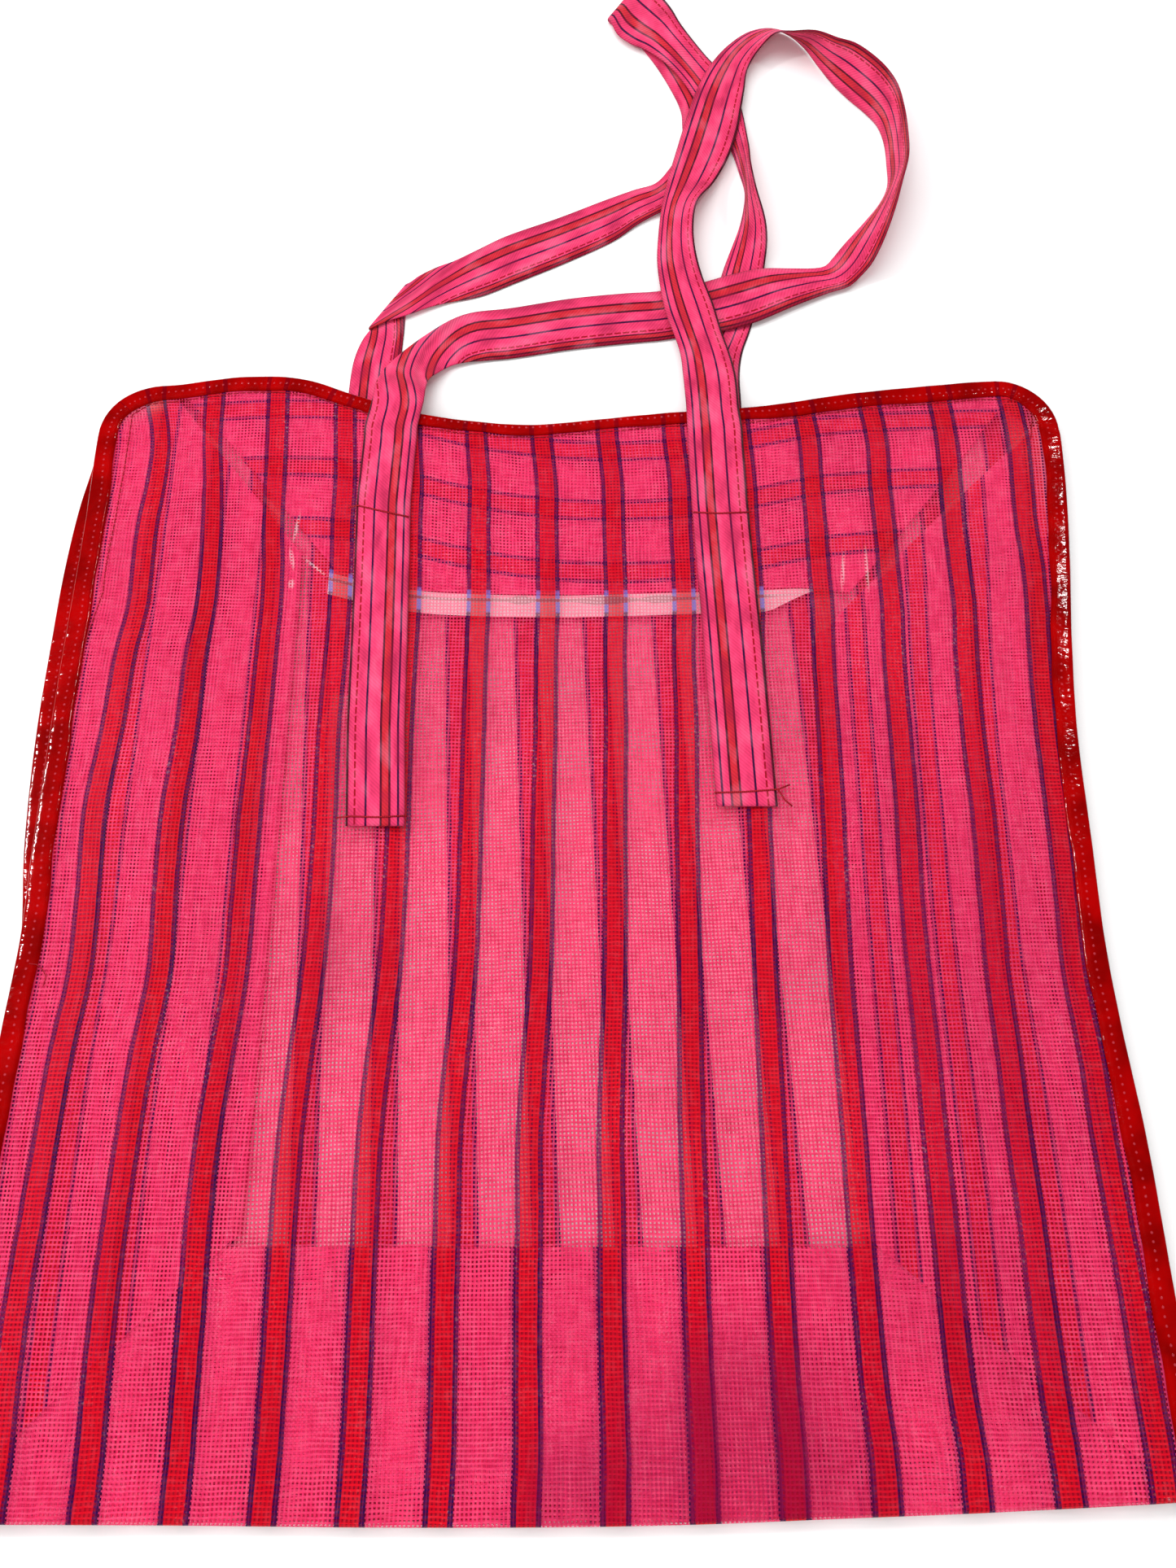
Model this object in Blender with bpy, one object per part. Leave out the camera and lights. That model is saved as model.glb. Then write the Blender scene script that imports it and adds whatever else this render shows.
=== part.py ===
"""A striped mesh market bag, emptied, folded flat and lying on its back.

X runs across the bag, Y from its base to its mouth and on to the straps, and Z up from the surface.
Lengths are millimetres, and they become metres where a mesh is made. Plan positions are measured from
the middle of the bag's lower edge, and the finished bag is moved so that the middle of its footprint
is at the origin.
"""

import math

import bpy
import numpy as np

for old in list(bpy.data.objects):
    bpy.data.objects.remove(old)

METRE = 0.001

# The cloth, and how its layers lie on each other
CLOTH_THICK = 1.0
LAYER_PITCH = 1.45
MIDDLE_SQUASH = 0.62
LEVEL_BACK = 0
LEVEL_GUSSET_LOWER = 1
LEVEL_BASE_LOWER = 2
LEVEL_TAPE = 2.5
LEVEL_BASE_UPPER = 3
LEVEL_GUSSET_UPPER = 4
LEVEL_FRONT = 5

# What lifts the layers off the surface: the binding round the edges and the rear strap's sewn ends
LIFT = 1.6
LIFT_LEFT_FULL, LIFT_LEFT_NONE = -220.0, -146.0
LIFT_RIGHT_FULL, LIFT_RIGHT_NONE = 204.0, 130.0
LIFT_TOP_FULL, LIFT_TOP_NONE = 470.0, 396.0
STRAP_LIFT_CENTRES = (-110.0, 66.0)
STRAP_LIFT_FULL, STRAP_LIFT_NONE = 21.0, 80.0
STRAP_LIFT_TOP, STRAP_LIFT_FOOT = 328.0, 262.0

# Where the folds and the inner strips lie
GUSSET_FOLD_LEFT, GUSSET_FOLD_RIGHT = -140.5, 111.0
FOLD_FOOT = 2.7
GUSSET_FOOT = 5.2
GUSSET_FOLD_FOOT = 101.0
BASE_FOLD = 96.5
BASE_END_INSET = 14.0
CLOSURE_FOOT = 391.0
CLOSURE_LEFT_TOP, CLOSURE_LEFT_FOOT = (-211.0, 505.0), (-122.0, 391.0)
CLOSURE_RIGHT_TOP, CLOSURE_RIGHT_FOOT = (222.0, 483.0), (127.0, 387.0)
CLOSURE_FLAT_SHARE = 0.2
MITRE_GAP = 1.5
TAPE_TALL = 12.0
TAPE_LEFT, TAPE_RIGHT = -120.0, 110.0
PLY_GAP = 0.3

# How far inside the gusset, base and closure the layers start and stop settling together
SQUASH_LEFT, SQUASH_RIGHT = -116.0, 86.0
SQUASH_BASE, SQUASH_CLOSURE = 122.0, 356.0
SQUASH_REACH = 60.0

# The red binding
VINYL_THICK = 1.0
VINYL_GAP = 0.3
BINDING_SIDE_WIDE, BINDING_TOP_WIDE = 10.0, 7.5
BINDING_FOOT = 7.7
CORNER_RADIUS = 29.0
CLOTH_INSET = VINYL_THICK + VINYL_GAP + 0.3
INNER_INSET = CLOTH_INSET + 0.6

# The straps. The front one climbs over the binding between these distances from the mouth
STRAP_EDGE_THICK, STRAP_MIDDLE_THICK = 0.8, 1.2
STRAP_CLEAR = 0.45
STRAP_STEP = 12.0
STRAP_CLIMB_START = 22.5
STRAP_CLIMB = 7.5

# Spacing of the meshes
GRID_STEP = 27.0
CORNER_STEPS = (0.0, 1.2, 5.0, 13.0, 29.0)
GUSSET_EDGE_STEPS = (0.0, 0.7, 3.0, 9.0)
GUSSET_LEAF_START = 22.0
ARC_STEPS = 4
TURN_STEPS = 9
SHARP_ANGLE = 50.0
LEAST_GAP = 0.001

# The middle of the finished bag's footprint, in plan positions
FOOTPRINT_MIDDLE = (-9.1, 402.25)

# Edges of the bag in plan: y, front left x, front right x, back left x, back right x
SIDES = (
    (-10, -245, 231, -245, 230),
    (0, -245, 231, -245, 230),
    (95, -247, 229, -247, 228),
    (140, -247.5, 227.5, -248, 226),
    (185, -246, 224, -247, 222.5),
    (217, -244.5, 222.5, -246.5, 220.5),
    (265, -245.5, 223, -252, 220),
    (321, -246, 224, -255, 219.5),
    (363, -246, 227.5, -255, 222.5),
    (407, -245.5, 232.5, -254.3, 228.5),
    (440, -245.5, 235.5, -252, 232.5),
    (466, -246, 237, -248.5, 234.5),
    (520, -246, 237, -247.5, 234.5),
)

# The mouth of the bag in plan: x, y. It dips in the middle
MOUTH = (
    (-260, 507.5),
    (-212, 508.5),
    (-176, 513.5),
    (-146, 511.5),
    (-116, 500.5),
    (-84, 490),
    (-56, 486),
    (-28, 484.5),
    (0, 487),
    (40, 490.5),
    (90, 495),
    (135, 503.5),
    (177, 508.5),
    (205, 511),
    (240, 510.5),
)
BACK_MOUTH_DROP = 1.0

# Soft folds pressed into the front: from x, from y, to x, to y, height, half width
FRONT_FOLDS = (
    (-235, 300, -150, 470, 1.6, 26),
    (-60, 470, 10, 330, 1.2, 30),
    (20, 40, 130, 300, 1.6, 30),
    (150, 150, 226, 330, 1.8, 26),
    (-190, 40, -150, 260, 1.2, 30),
    (-70, 60, -30, 240, 1.3, 28),
)

# The front strap's two sewn ends, from the lower end up to the mouth: left x, right x, y
FRONT_LEFT_END = (
    (-107.7, -81.2, 272),
    (-110, -83.5, 320),
    (-111, -84.5, 363),
    (-113, -86.5, 438),
    (-111.5, -85, 480),
)
FRONT_RIGHT_END = (
    (57.2, 84.7, 281),
    (55.5, 83, 325),
    (54, 81.5, 363),
    (50.5, 78, 438),
    (49.5, 77, 480),
)

# The front strap between its sewn ends: left edge x, y, z, right edge x, y, z
FRONT_ROUTE = (
    (-108.4, 497, 14, -82.5, 495, 14),
    (-107.5, 506, 13.6, -82, 503, 13.6),
    (-105, 518, 9, -81, 512.5, 9),
    (-100, 528, 5.6, -77, 519, 5.6),
    (-92, 538, 4, -71.5, 525, 3),
    (-83.5, 546, 3.5, -67, 527, 2.5),
    (-73, 554, 3.5, -61.5, 528.5, 2),
    (-62, 558.5, 4, -52, 530, 1.2),
    (-42, 560.5, 5, -39.5, 531.5, 1),
    (-9.5, 566, 6, -9.5, 537, 1),
    (20.5, 570.5, 5, 20.5, 541, 1),
    (36.5, 573, 3.5, 38.5, 543, 1),
    (50, 576.5, 3, 52.5, 545.5, 1.2),
    (61.5, 579, 3.6, 69, 547.5, 2.4),
    (76.5, 583, 5, 88, 553, 3),
    (93, 587, 5, 110, 564, 3),
    (110, 588, 4, 129, 573, 2.5),
    (122, 589.5, 2.5, 140, 577, 3),
    (128, 592, 1.5, 145.5, 581.5, 5),
    (132, 597, 1.2, 150.5, 585.5, 9),
    (139.5, 607.5, 1, 156, 594, 16),
    (150.5, 621, 1, 163, 612, 22),
    (160.5, 634.5, 1, 167.5, 628, 25),
    (166, 647, 0.8, 172, 645, 26),
    (167, 663, 0.8, 173, 663, 26),
    (166.8, 679, 0.8, 172.5, 679, 26),
    (164, 692, 0.8, 170.5, 694.5, 26),
    (157.7, 702, 0.8, 166, 707, 25.5),
    (149.5, 712, 0.8, 159, 718, 25),
    (141, 724, 0.8, 149.5, 728, 24.5),
    (134, 737, 0.8, 140.5, 731, 25),
    (126, 753, 0.8, 128.5, 740, 22.5),
    (118, 763, 0.9, 117, 743.5, 19),
    (108, 767.5, 1.5, 107.5, 747, 15),
    (95, 763.5, 3, 98.5, 740.5, 10),
    (81.5, 750.5, 4.6, 91.5, 728, 7.5),
    (70.5, 733.5, 6, 89, 713, 6.8),
    (62.5, 716, 5.8, 86.5, 698, 6.4),
    (56.8, 697.5, 6, 84, 684, 6.2),
    (50.8, 675, 5.6, 78.5, 665, 5.8),
    (44, 648, 5.6, 69.5, 645, 7),
    (40, 627, 5.6, 59, 624, 14),
    (38, 609, 5.4, 56.2, 605.5, 15.5),
    (37, 592, 5.4, 57, 589, 15),
    (38, 575.5, 6.4, 60.3, 575.5, 12),
    (40.5, 557, 7, 66, 560.5, 8),
    (44.8, 542, 7, 69.5, 545, 7),
    (47.7, 528.5, 8, 73, 530, 8),
    (48.5, 513.5, 10.5, 75.3, 514.5, 10.5),
    (49, 499, 13.2, 75.7, 499, 13.2),
    (49.3, 490, 13.9, 75.8, 490, 13.9),
)

# The rear strap from its left sewn end to its right one, in the same columns
BACK_ROUTE = (
    (-124.5, 340, 0.65, -98, 340, 0.65),
    (-124.5, 420, 0.65, -98, 420, 0.65),
    (-124, 500, 0.65, -98.5, 500, 0.65),
    (-123, 526, 0.65, -98, 527.5, 0.65),
    (-121.5, 535, 0.65, -97.5, 538, 0.65),
    (-119, 543, 0.65, -97, 550, 0.65),
    (-116.5, 548, 0.65, -96.8, 564, 0.65),
    (-115, 549.5, 0.65, -96, 579, 0.65),
    (-115.8, 550, 1.65, -96.8, 580, 1.65),
    (-114.5, 549.5, 2.65, -95.5, 579.5, 2.65),
    (-106, 554, 2.65, -92, 583, 2.65),
    (-96, 558, 2.65, -87.5, 586.5, 2.5),
    (-84.5, 563.5, 2.2, -80, 591.5, 1.9),
    (-74.5, 567.5, 1.2, -73, 595.5, 1),
    (-57.5, 572, 0.65, -60.5, 603.5, 0.65),
    (-38, 581.5, 0.65, -45, 613, 0.65),
    (-11.5, 595, 0.65, -16, 626, 0.65),
    (14.5, 610, 0.65, 10.5, 639, 0.65),
    (28, 621, 1.5, 26, 646, 0.65),
    (40, 628.5, 2.2, 37.5, 650.5, 0.7),
    (53.5, 637, 2.2, 45.5, 661, 0.8),
    (66, 650.5, 1.5, 51, 672, 0.8),
    (74, 670, 1, 53.5, 682.5, 0.7),
    (77, 694, 0.7, 53.5, 692.5, 0.65),
    (75, 716, 0.65, 53, 703.5, 0.65),
    (68, 736, 0.65, 48.5, 718, 0.65),
    (59, 755, 0.65, 39, 739.5, 0.65),
    (48, 776, 0.65, 28, 757.5, 0.65),
    (36, 796, 0.8, 17.5, 769, 0.8),
    (31.5, 801.5, 1, 13, 772, 1),
    (30, 803.5, 2.1, 11.5, 774, 2.1),
    (32.5, 802.5, 3.2, 13, 771.5, 3.2),
    (39, 795, 5, 17, 761, 3.2),
    (44.5, 782, 9, 25, 753, 3.2),
    (49, 767, 13.5, 34, 748, 3.2),
    (53, 755.5, 14.5, 43, 740, 3.2),
    (60, 748, 10.5, 50, 731, 3.1),
    (69, 741.5, 4.2, 56, 721.5, 2.6),
    (76, 733.5, 2.8, 61, 711.5, 2),
    (84, 720.5, 2.6, 67, 701.5, 1.5),
    (87.5, 702.5, 3.2, 72, 691, 1.2),
    (88.5, 679, 9, 80, 675, 0.9),
    (88, 659, 17.5, 84.5, 656.5, 0.8),
    (87.5, 642.5, 22.5, 87, 643, 0.8),
    (90, 627, 21, 85.5, 630, 0.8),
    (94.5, 609.5, 17, 82, 616.5, 0.8),
    (96, 601, 10.5, 77.5, 603.5, 0.7),
    (95, 590.5, 3, 72.5, 588.5, 0.65),
    (93, 578.5, 0.9, 69, 574.5, 0.65),
    (89.5, 563.5, 0.65, 65.5, 558.5, 0.65),
    (85.5, 549, 0.65, 61, 544, 0.65),
    (81, 535.5, 0.65, 56, 533, 0.65),
    (79, 522.5, 0.65, 53.5, 521.5, 0.65),
    (79, 500, 0.65, 53, 500, 0.65),
    (79.3, 420, 0.65, 53, 420, 0.65),
    (79.3, 340, 0.65, 53, 340, 0.65),
)

# Finishes: colour in linear light, roughness
FINISHES = {
    "mesh_cloth": ((1.0, 0.06, 0.20), 0.7),
    "red_vinyl": ((0.47, 0.0, 0.0), 0.25),
    "strap_cloth": ((0.80, 0.07, 0.21), 0.75),
    "pale_tape": ((0.90, 0.86, 0.86), 0.4),
}


def smooth_step(value):
    """0 below 0, 1 above 1 and a soft S between them."""
    clipped = np.clip(value, 0.0, 1.0)
    return clipped * clipped * (3 - 2 * clipped)


def through(table, column, at):
    """The smooth curve through a table's rows, read at the values in at."""
    rows = np.array(table, float)
    knots, values = rows[:, 0], rows[:, column]
    slopes = np.gradient(values, knots)
    at = np.clip(at, knots[0], knots[-1])
    cell = np.clip(np.searchsorted(knots, at) - 1, 0, len(knots) - 2)
    width = knots[cell + 1] - knots[cell]
    t = (at - knots[cell]) / width
    start, end = values[cell], values[cell + 1]
    start_slope, end_slope = slopes[cell] * width, slopes[cell + 1] * width
    bend = (2 * t**3 - 3 * t**2 + 1) * start + (3 * t**2 - 2 * t**3) * end
    return bend + (t**3 - 2 * t**2 + t) * start_slope + (t**3 - t**2) * end_slope


def side_x(face, side, y):
    """The outer x of the bound edge of the front or the back, on its left or its right."""
    column = {("front", "left"): 1, ("front", "right"): 2, ("back", "left"): 3, ("back", "right"): 4}
    return through(SIDES, column[(face, side)], np.asarray(y, float))


def mouth_y(face, x, inset=0.0):
    """The y of the mouth's bound edge, or of a line inside it, with its two rounded corners."""
    x = np.asarray(x, float)
    drop = BACK_MOUTH_DROP if face == "back" else 0.0
    left = side_x(face, "left", SIDES[-1][0]) + inset
    right = side_x(face, "right", SIDES[-1][0]) - inset
    radius = CORNER_RADIUS - inset
    near = np.clip(np.minimum(x - left, right - x), 0, radius)
    arc = radius - np.sqrt(radius**2 - (radius - near) ** 2)
    return through(MOUTH, 1, x) - drop - inset - arc


def between(value, full, none):
    """1 at full and past it, and 0 at none and past it, softly."""
    return smooth_step((value - none) / (full - none))


def lift(x, y):
    """How far the binding and the rear strap raise the layers above the surface."""
    edge = 1 - (
        (1 - between(x, LIFT_LEFT_FULL, LIFT_LEFT_NONE))
        * (1 - between(x, LIFT_RIGHT_FULL, LIFT_RIGHT_NONE))
        * (1 - between(y, LIFT_TOP_FULL, LIFT_TOP_NONE))
    )
    strap = 0.0
    for centre in STRAP_LIFT_CENTRES:
        strap = strap + between(np.abs(x - centre), STRAP_LIFT_FULL, STRAP_LIFT_NONE)
    return LIFT * (edge + strap * between(y, STRAP_LIFT_TOP, STRAP_LIFT_FOOT))


def spread(x, y):
    """1 where inner layers keep the front and back apart, less where they settle together."""
    across = smooth_step((x - SQUASH_LEFT) / SQUASH_REACH) * smooth_step((SQUASH_RIGHT - x) / SQUASH_REACH)
    along = smooth_step((y - SQUASH_BASE) / SQUASH_REACH) * smooth_step((SQUASH_CLOSURE - y) / SQUASH_REACH)
    return 1 - (1 - MIDDLE_SQUASH) * across * along


def layer_z(level, x, y):
    """The height of the middle of a layer."""
    return lift(x, y) + CLOTH_THICK / 2 + level * LAYER_PITCH * spread(x, y)


def front_folds(x, y):
    """The soft folds' height over the front at a place."""
    height = np.zeros(np.broadcast(x, y).shape)
    for from_x, from_y, to_x, to_y, rise, half_wide in FRONT_FOLDS:
        along_x, along_y = to_x - from_x, to_y - from_y
        length = math.hypot(along_x, along_y)
        t = np.clip(((x - from_x) * along_x + (y - from_y) * along_y) / length**2, 0, 1)
        away = np.hypot(x - from_x - t * along_x, y - from_y - t * along_y)
        ends = np.sin(math.pi * np.clip(t, 0.0, 1.0))
        height += rise * ends * smooth_step(1 - away / (2 * half_wide))
    inside = smooth_step((x - LIFT_LEFT_FULL) / GRID_STEP) * smooth_step((LIFT_RIGHT_FULL - x) / GRID_STEP)
    return height * inside * smooth_step((LIFT_TOP_FULL - y) / GRID_STEP)


def front_z(x, y):
    """The height of the middle of the front panel."""
    return layer_z(LEVEL_FRONT, x, y) + front_folds(x, y)


def steps(start, end, size):
    """Evenly spaced values from start to end, at most size apart."""
    return np.linspace(start, end, max(2, math.ceil(abs(end - start) / size) + 1))


def arc_values(start, end):
    """Angles along a half turn, without its two ends."""
    return np.linspace(start, end, ARC_STEPS + 1)[1:-1]


def finish(slot):
    """The material of a slot, made once."""
    if slot in bpy.data.materials:
        return bpy.data.materials[slot]
    colour, roughness = FINISHES[slot.split(".")[-1]]
    material = bpy.data.materials.new(slot)
    material.use_nodes = True
    shader = material.node_tree.nodes["Principled BSDF"]
    shader.inputs["Base Color"].default_value = (*colour, 1)
    shader.inputs["Roughness"].default_value = roughness
    material.diffuse_color = (*colour, 1)
    return material


def add_object(name, slot, points, faces):
    """One closed mesh with its faces pointing out, moved to the bag's own origin."""
    points = np.array(points, float)
    points[:, 0] -= FOOTPRINT_MIDDLE[0]
    points[:, 1] -= FOOTPRINT_MIDDLE[1]
    volume = 0.0
    for face in faces:
        for second, third in zip(face[1:-1], face[2:]):
            volume += np.dot(points[face[0]], np.cross(points[second], points[third]))
    if volume < 0:
        faces = [tuple(reversed(face)) for face in faces]
    mesh = bpy.data.meshes.new(name)
    mesh.from_pydata((points * METRE).tolist(), [], faces)
    mesh.materials.append(finish(name + "." + slot))
    mesh.shade_smooth()
    mesh.set_sharp_from_angle(angle=math.radians(SHARP_ANGLE))
    bpy.context.scene.collection.objects.link(bpy.data.objects.new(name, mesh))


def sheet_solid(name, slot, middle, thickness):
    """A sheet of even thickness about a grid of points on its middle surface."""
    down, across = np.gradient(middle, axis=0), np.gradient(middle, axis=1)
    normal = np.cross(down, across)
    normal /= np.linalg.norm(normal, axis=2, keepdims=True)
    rows, columns = middle.shape[:2]
    points = np.concatenate(
        [
            (middle + normal * thickness / 2).reshape(-1, 3),
            (middle - normal * thickness / 2).reshape(-1, 3),
        ]
    )
    under = rows * columns
    faces = []
    for row in range(rows - 1):
        for column in range(columns - 1):
            corner = row * columns + column
            quad = (corner, corner + 1, corner + columns + 1, corner + columns)
            faces.append(quad)
            faces.append(tuple(index + under for index in reversed(quad)))
    rim = list(range(columns))
    rim += [row * columns + columns - 1 for row in range(1, rows)]
    rim += [(rows - 1) * columns + column for column in range(columns - 2, -1, -1)]
    rim += [row * columns for row in range(rows - 2, 0, -1)]
    for here, there in zip(rim, rim[1:] + rim[:1]):
        faces.append((there, here, here + under, there + under))
    add_object(name, slot, points, faces)


def loft_solid(name, slot, sections):
    """A solid through a row of closed sections with the same number of points."""
    count, around = sections.shape[:2]
    faces = []
    for section in range(count - 1):
        for corner in range(around):
            after = (corner + 1) % around
            first, second = section * around + corner, section * around + after
            faces.append((first, second, second + around, first + around))
    faces.append(tuple(reversed(range(around))))
    faces.append(tuple((count - 1) * around + corner for corner in range(around)))
    add_object(name, slot, sections.reshape(-1, 3), faces)


def panel_columns(face):
    """Shares of the width for a panel's columns, close together at its rounded corners."""
    wide = side_x(face, "right", 0) - side_x(face, "left", 0)
    ends = np.array(CORNER_STEPS) / wide
    middle = steps(ends[-1], 1 - ends[-1], GRID_STEP / wide)[1:-1]
    return np.concatenate([ends, middle, 1 - ends[::-1]])


def panel_rows(face, shares, fractions):
    """Plan points of a panel: a row for each fraction of its height, from the base up."""
    left_top, right_top = side_x(face, "left", SIDES[-1][0]), side_x(face, "right", SIDES[-1][0])
    top_x = left_top + CLOTH_INSET + shares * (right_top - left_top - 2 * CLOTH_INSET)
    top = mouth_y(face, top_x, CLOTH_INSET)
    rows = []
    for fraction in fractions:
        y = FOLD_FOOT + (top - FOLD_FOOT) * fraction
        left = side_x(face, "left", y) + CLOTH_INSET
        right = side_x(face, "right", y) - CLOTH_INSET
        rows.append(np.stack([left + shares * (right - left), y], axis=1))
    return np.array(rows)


def base_row(shares, y):
    """Plan points of a row of the base, which stops short of the bound edges."""
    left = side_x("front", "left", 0) + CLOTH_INSET + BASE_END_INSET
    right = side_x("front", "right", 0) - CLOTH_INSET - BASE_END_INSET
    return np.stack([left + shares * (right - left), np.full(len(shares), y)], axis=1)


def turn(start_row, end_row, low_level, high_level, y, sign):
    """Rows of a half turn between two levels, bulging to lower or higher y."""
    rows = []
    radius = (high_level - low_level) * LAYER_PITCH / 2
    middle_level = (high_level + low_level) / 2
    for angle in arc_values(0, math.pi):
        share = angle / math.pi
        plan = start_row + (end_row - start_row) * share
        plan_y = y + sign * radius * math.sin(angle)
        z = layer_z(middle_level, plan[:, 0], plan[:, 1]) + radius * math.cos(angle)
        rows.append(np.stack([plan[:, 0], np.full(len(plan), plan_y), z], axis=1))
    return rows


def with_z(plan, z):
    """Plan points with their heights."""
    return np.concatenate([plan, z[..., None]], axis=-1)


def build_body():
    """Front panel, tucked-in base and back panel in one strip."""
    shares = panel_columns("front")
    tall = mouth_y("front", 0)
    fractions = np.linspace(0, 1, math.ceil(tall / GRID_STEP) + 1)
    front = panel_rows("front", shares, fractions[::-1])
    back = panel_rows("back", shares, fractions)
    up = [base_row(shares, y) for y in steps(FOLD_FOOT, BASE_FOLD, GRID_STEP)]
    rows = [with_z(row, front_z(row[:, 0], row[:, 1])) for row in front]
    rows += turn(front[-1], up[0], LEVEL_BASE_UPPER, LEVEL_FRONT, FOLD_FOOT, -1)
    rows += [with_z(row, layer_z(LEVEL_BASE_UPPER, row[:, 0], row[:, 1])) for row in up]
    rows += turn(up[-1], up[-1], LEVEL_BASE_LOWER, LEVEL_BASE_UPPER, BASE_FOLD, 1)
    rows += [with_z(row, layer_z(LEVEL_BASE_LOWER, row[:, 0], row[:, 1])) for row in up[::-1]]
    rows += turn(up[0], back[0], LEVEL_BACK, LEVEL_BASE_LOWER, FOLD_FOOT, -1)
    rows += [with_z(row, layer_z(LEVEL_BACK, row[:, 0], row[:, 1])) for row in back]
    sheet_solid("body_cloth", "mesh_cloth", np.array(rows), CLOTH_THICK)


def on_line(start, end, x):
    """The y at x on the straight line through two plan points."""
    return start[1] + (end[1] - start[1]) * (x - start[0]) / (end[0] - start[0])


def gusset_top(face, side, x):
    """The gusset's upper edge: the mouth's corner, and then the mitre beside the closure."""
    line = (CLOSURE_LEFT_TOP, CLOSURE_LEFT_FOOT) if side == "left" else (CLOSURE_RIGHT_TOP, CLOSURE_RIGHT_FOOT)
    return np.minimum(mouth_y(face, x, INNER_INSET), on_line(*line, x) - MITRE_GAP)


def gusset_leaf(face, side, depths, fractions):
    """Plan points of one leaf, a column for each share of the way from the bound edge to the fold."""
    fold = GUSSET_FOLD_LEFT if side == "left" else GUSSET_FOLD_RIGHT
    inward = 1 if side == "left" else -1
    edge = side_x(face, side, SIDES[-1][0]) + inward * INNER_INSET
    columns = []
    for depth in depths:
        nominal_x = edge + (fold - edge) * depth
        foot = GUSSET_FOOT + (GUSSET_FOLD_FOOT - GUSSET_FOOT) * depth
        y = foot + (gusset_top(face, side, nominal_x) - foot) * fractions
        local_edge = side_x(face, side, y) + inward * INNER_INSET
        columns.append(np.stack([local_edge + (fold - local_edge) * depth, y], axis=1))
    return np.array(columns)


def build_gusset(side):
    """One side strip, folded inwards: its upper leaf, the fold and its lower leaf."""
    fold = GUSSET_FOLD_LEFT if side == "left" else GUSSET_FOLD_RIGHT
    inward = 1 if side == "left" else -1
    reach = abs(fold - side_x("front", side, 0))
    leaf_steps = steps(GUSSET_LEAF_START / reach, 1, GRID_STEP / reach)
    depths = np.concatenate([np.array(GUSSET_EDGE_STEPS) / reach, leaf_steps])
    fractions = np.linspace(0, 1, math.ceil(mouth_y("front", 0) / GRID_STEP))
    upper = gusset_leaf("front", side, depths, fractions)
    lower = gusset_leaf("back", side, depths, fractions)[::-1]
    columns = [with_z(row, layer_z(LEVEL_GUSSET_UPPER, row[:, 0], row[:, 1])) for row in upper]
    radius = (LEVEL_GUSSET_UPPER - LEVEL_GUSSET_LOWER) * LAYER_PITCH / 2
    middle_level = (LEVEL_GUSSET_UPPER + LEVEL_GUSSET_LOWER) / 2
    for angle in arc_values(0, math.pi):
        plan = upper[-1]
        z = layer_z(middle_level, plan[:, 0], plan[:, 1]) + radius * math.cos(angle)
        x = plan[:, 0] + inward * radius * math.sin(angle)
        columns.append(np.stack([x, plan[:, 1], z], axis=1))
    columns += [with_z(row, layer_z(LEVEL_GUSSET_LOWER, row[:, 0], row[:, 1])) for row in lower]
    sheet_solid("gusset_" + side, "mesh_cloth", np.array(columns), CLOTH_THICK)


def build_closure(face):
    """One inner strip below the mouth, with slanted ends, sinking towards the tape."""
    top_level = LEVEL_GUSSET_UPPER if face == "front" else LEVEL_GUSSET_LOWER
    foot_level = LEVEL_BASE_UPPER if face == "front" else LEVEL_BASE_LOWER
    tall = mouth_y(face, 0) - CLOSURE_FOOT
    shares = steps(0, 1, GRID_STEP / (CLOSURE_RIGHT_TOP[0] - CLOSURE_LEFT_TOP[0]))
    rows = []
    for share in steps(0, 1, GRID_STEP / tall):
        left = CLOSURE_LEFT_TOP[0] + (CLOSURE_LEFT_FOOT[0] - CLOSURE_LEFT_TOP[0]) * share + MITRE_GAP
        right = CLOSURE_RIGHT_TOP[0] + (CLOSURE_RIGHT_FOOT[0] - CLOSURE_RIGHT_TOP[0]) * share - MITRE_GAP
        x = left + (right - left) * shares
        top = mouth_y(face, x, INNER_INSET)
        y = top + (CLOSURE_FOOT - top) * share
        sunk = smooth_step((share - CLOSURE_FLAT_SHARE) / (1 - CLOSURE_FLAT_SHARE))
        level = top_level + (foot_level - top_level) * sunk
        rows.append(np.stack([x, y, layer_z(level, x, y)], axis=1))
    sheet_solid("closure_" + face, "mesh_cloth", np.array(rows), CLOTH_THICK)


def build_tape():
    """The tape that joins the closures' lower edges."""
    rows = []
    for y in (CLOSURE_FOOT - CLOTH_THICK / 2 - PLY_GAP, CLOSURE_FOOT - TAPE_TALL):
        x = steps(TAPE_LEFT, TAPE_RIGHT, GRID_STEP)
        rows.append(np.stack([x, np.full(len(x), y), layer_z(LEVEL_TAPE, x, y)], axis=1))
    sheet_solid("closure_tape", "pale_tape", np.array(rows), CLOTH_THICK)


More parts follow.
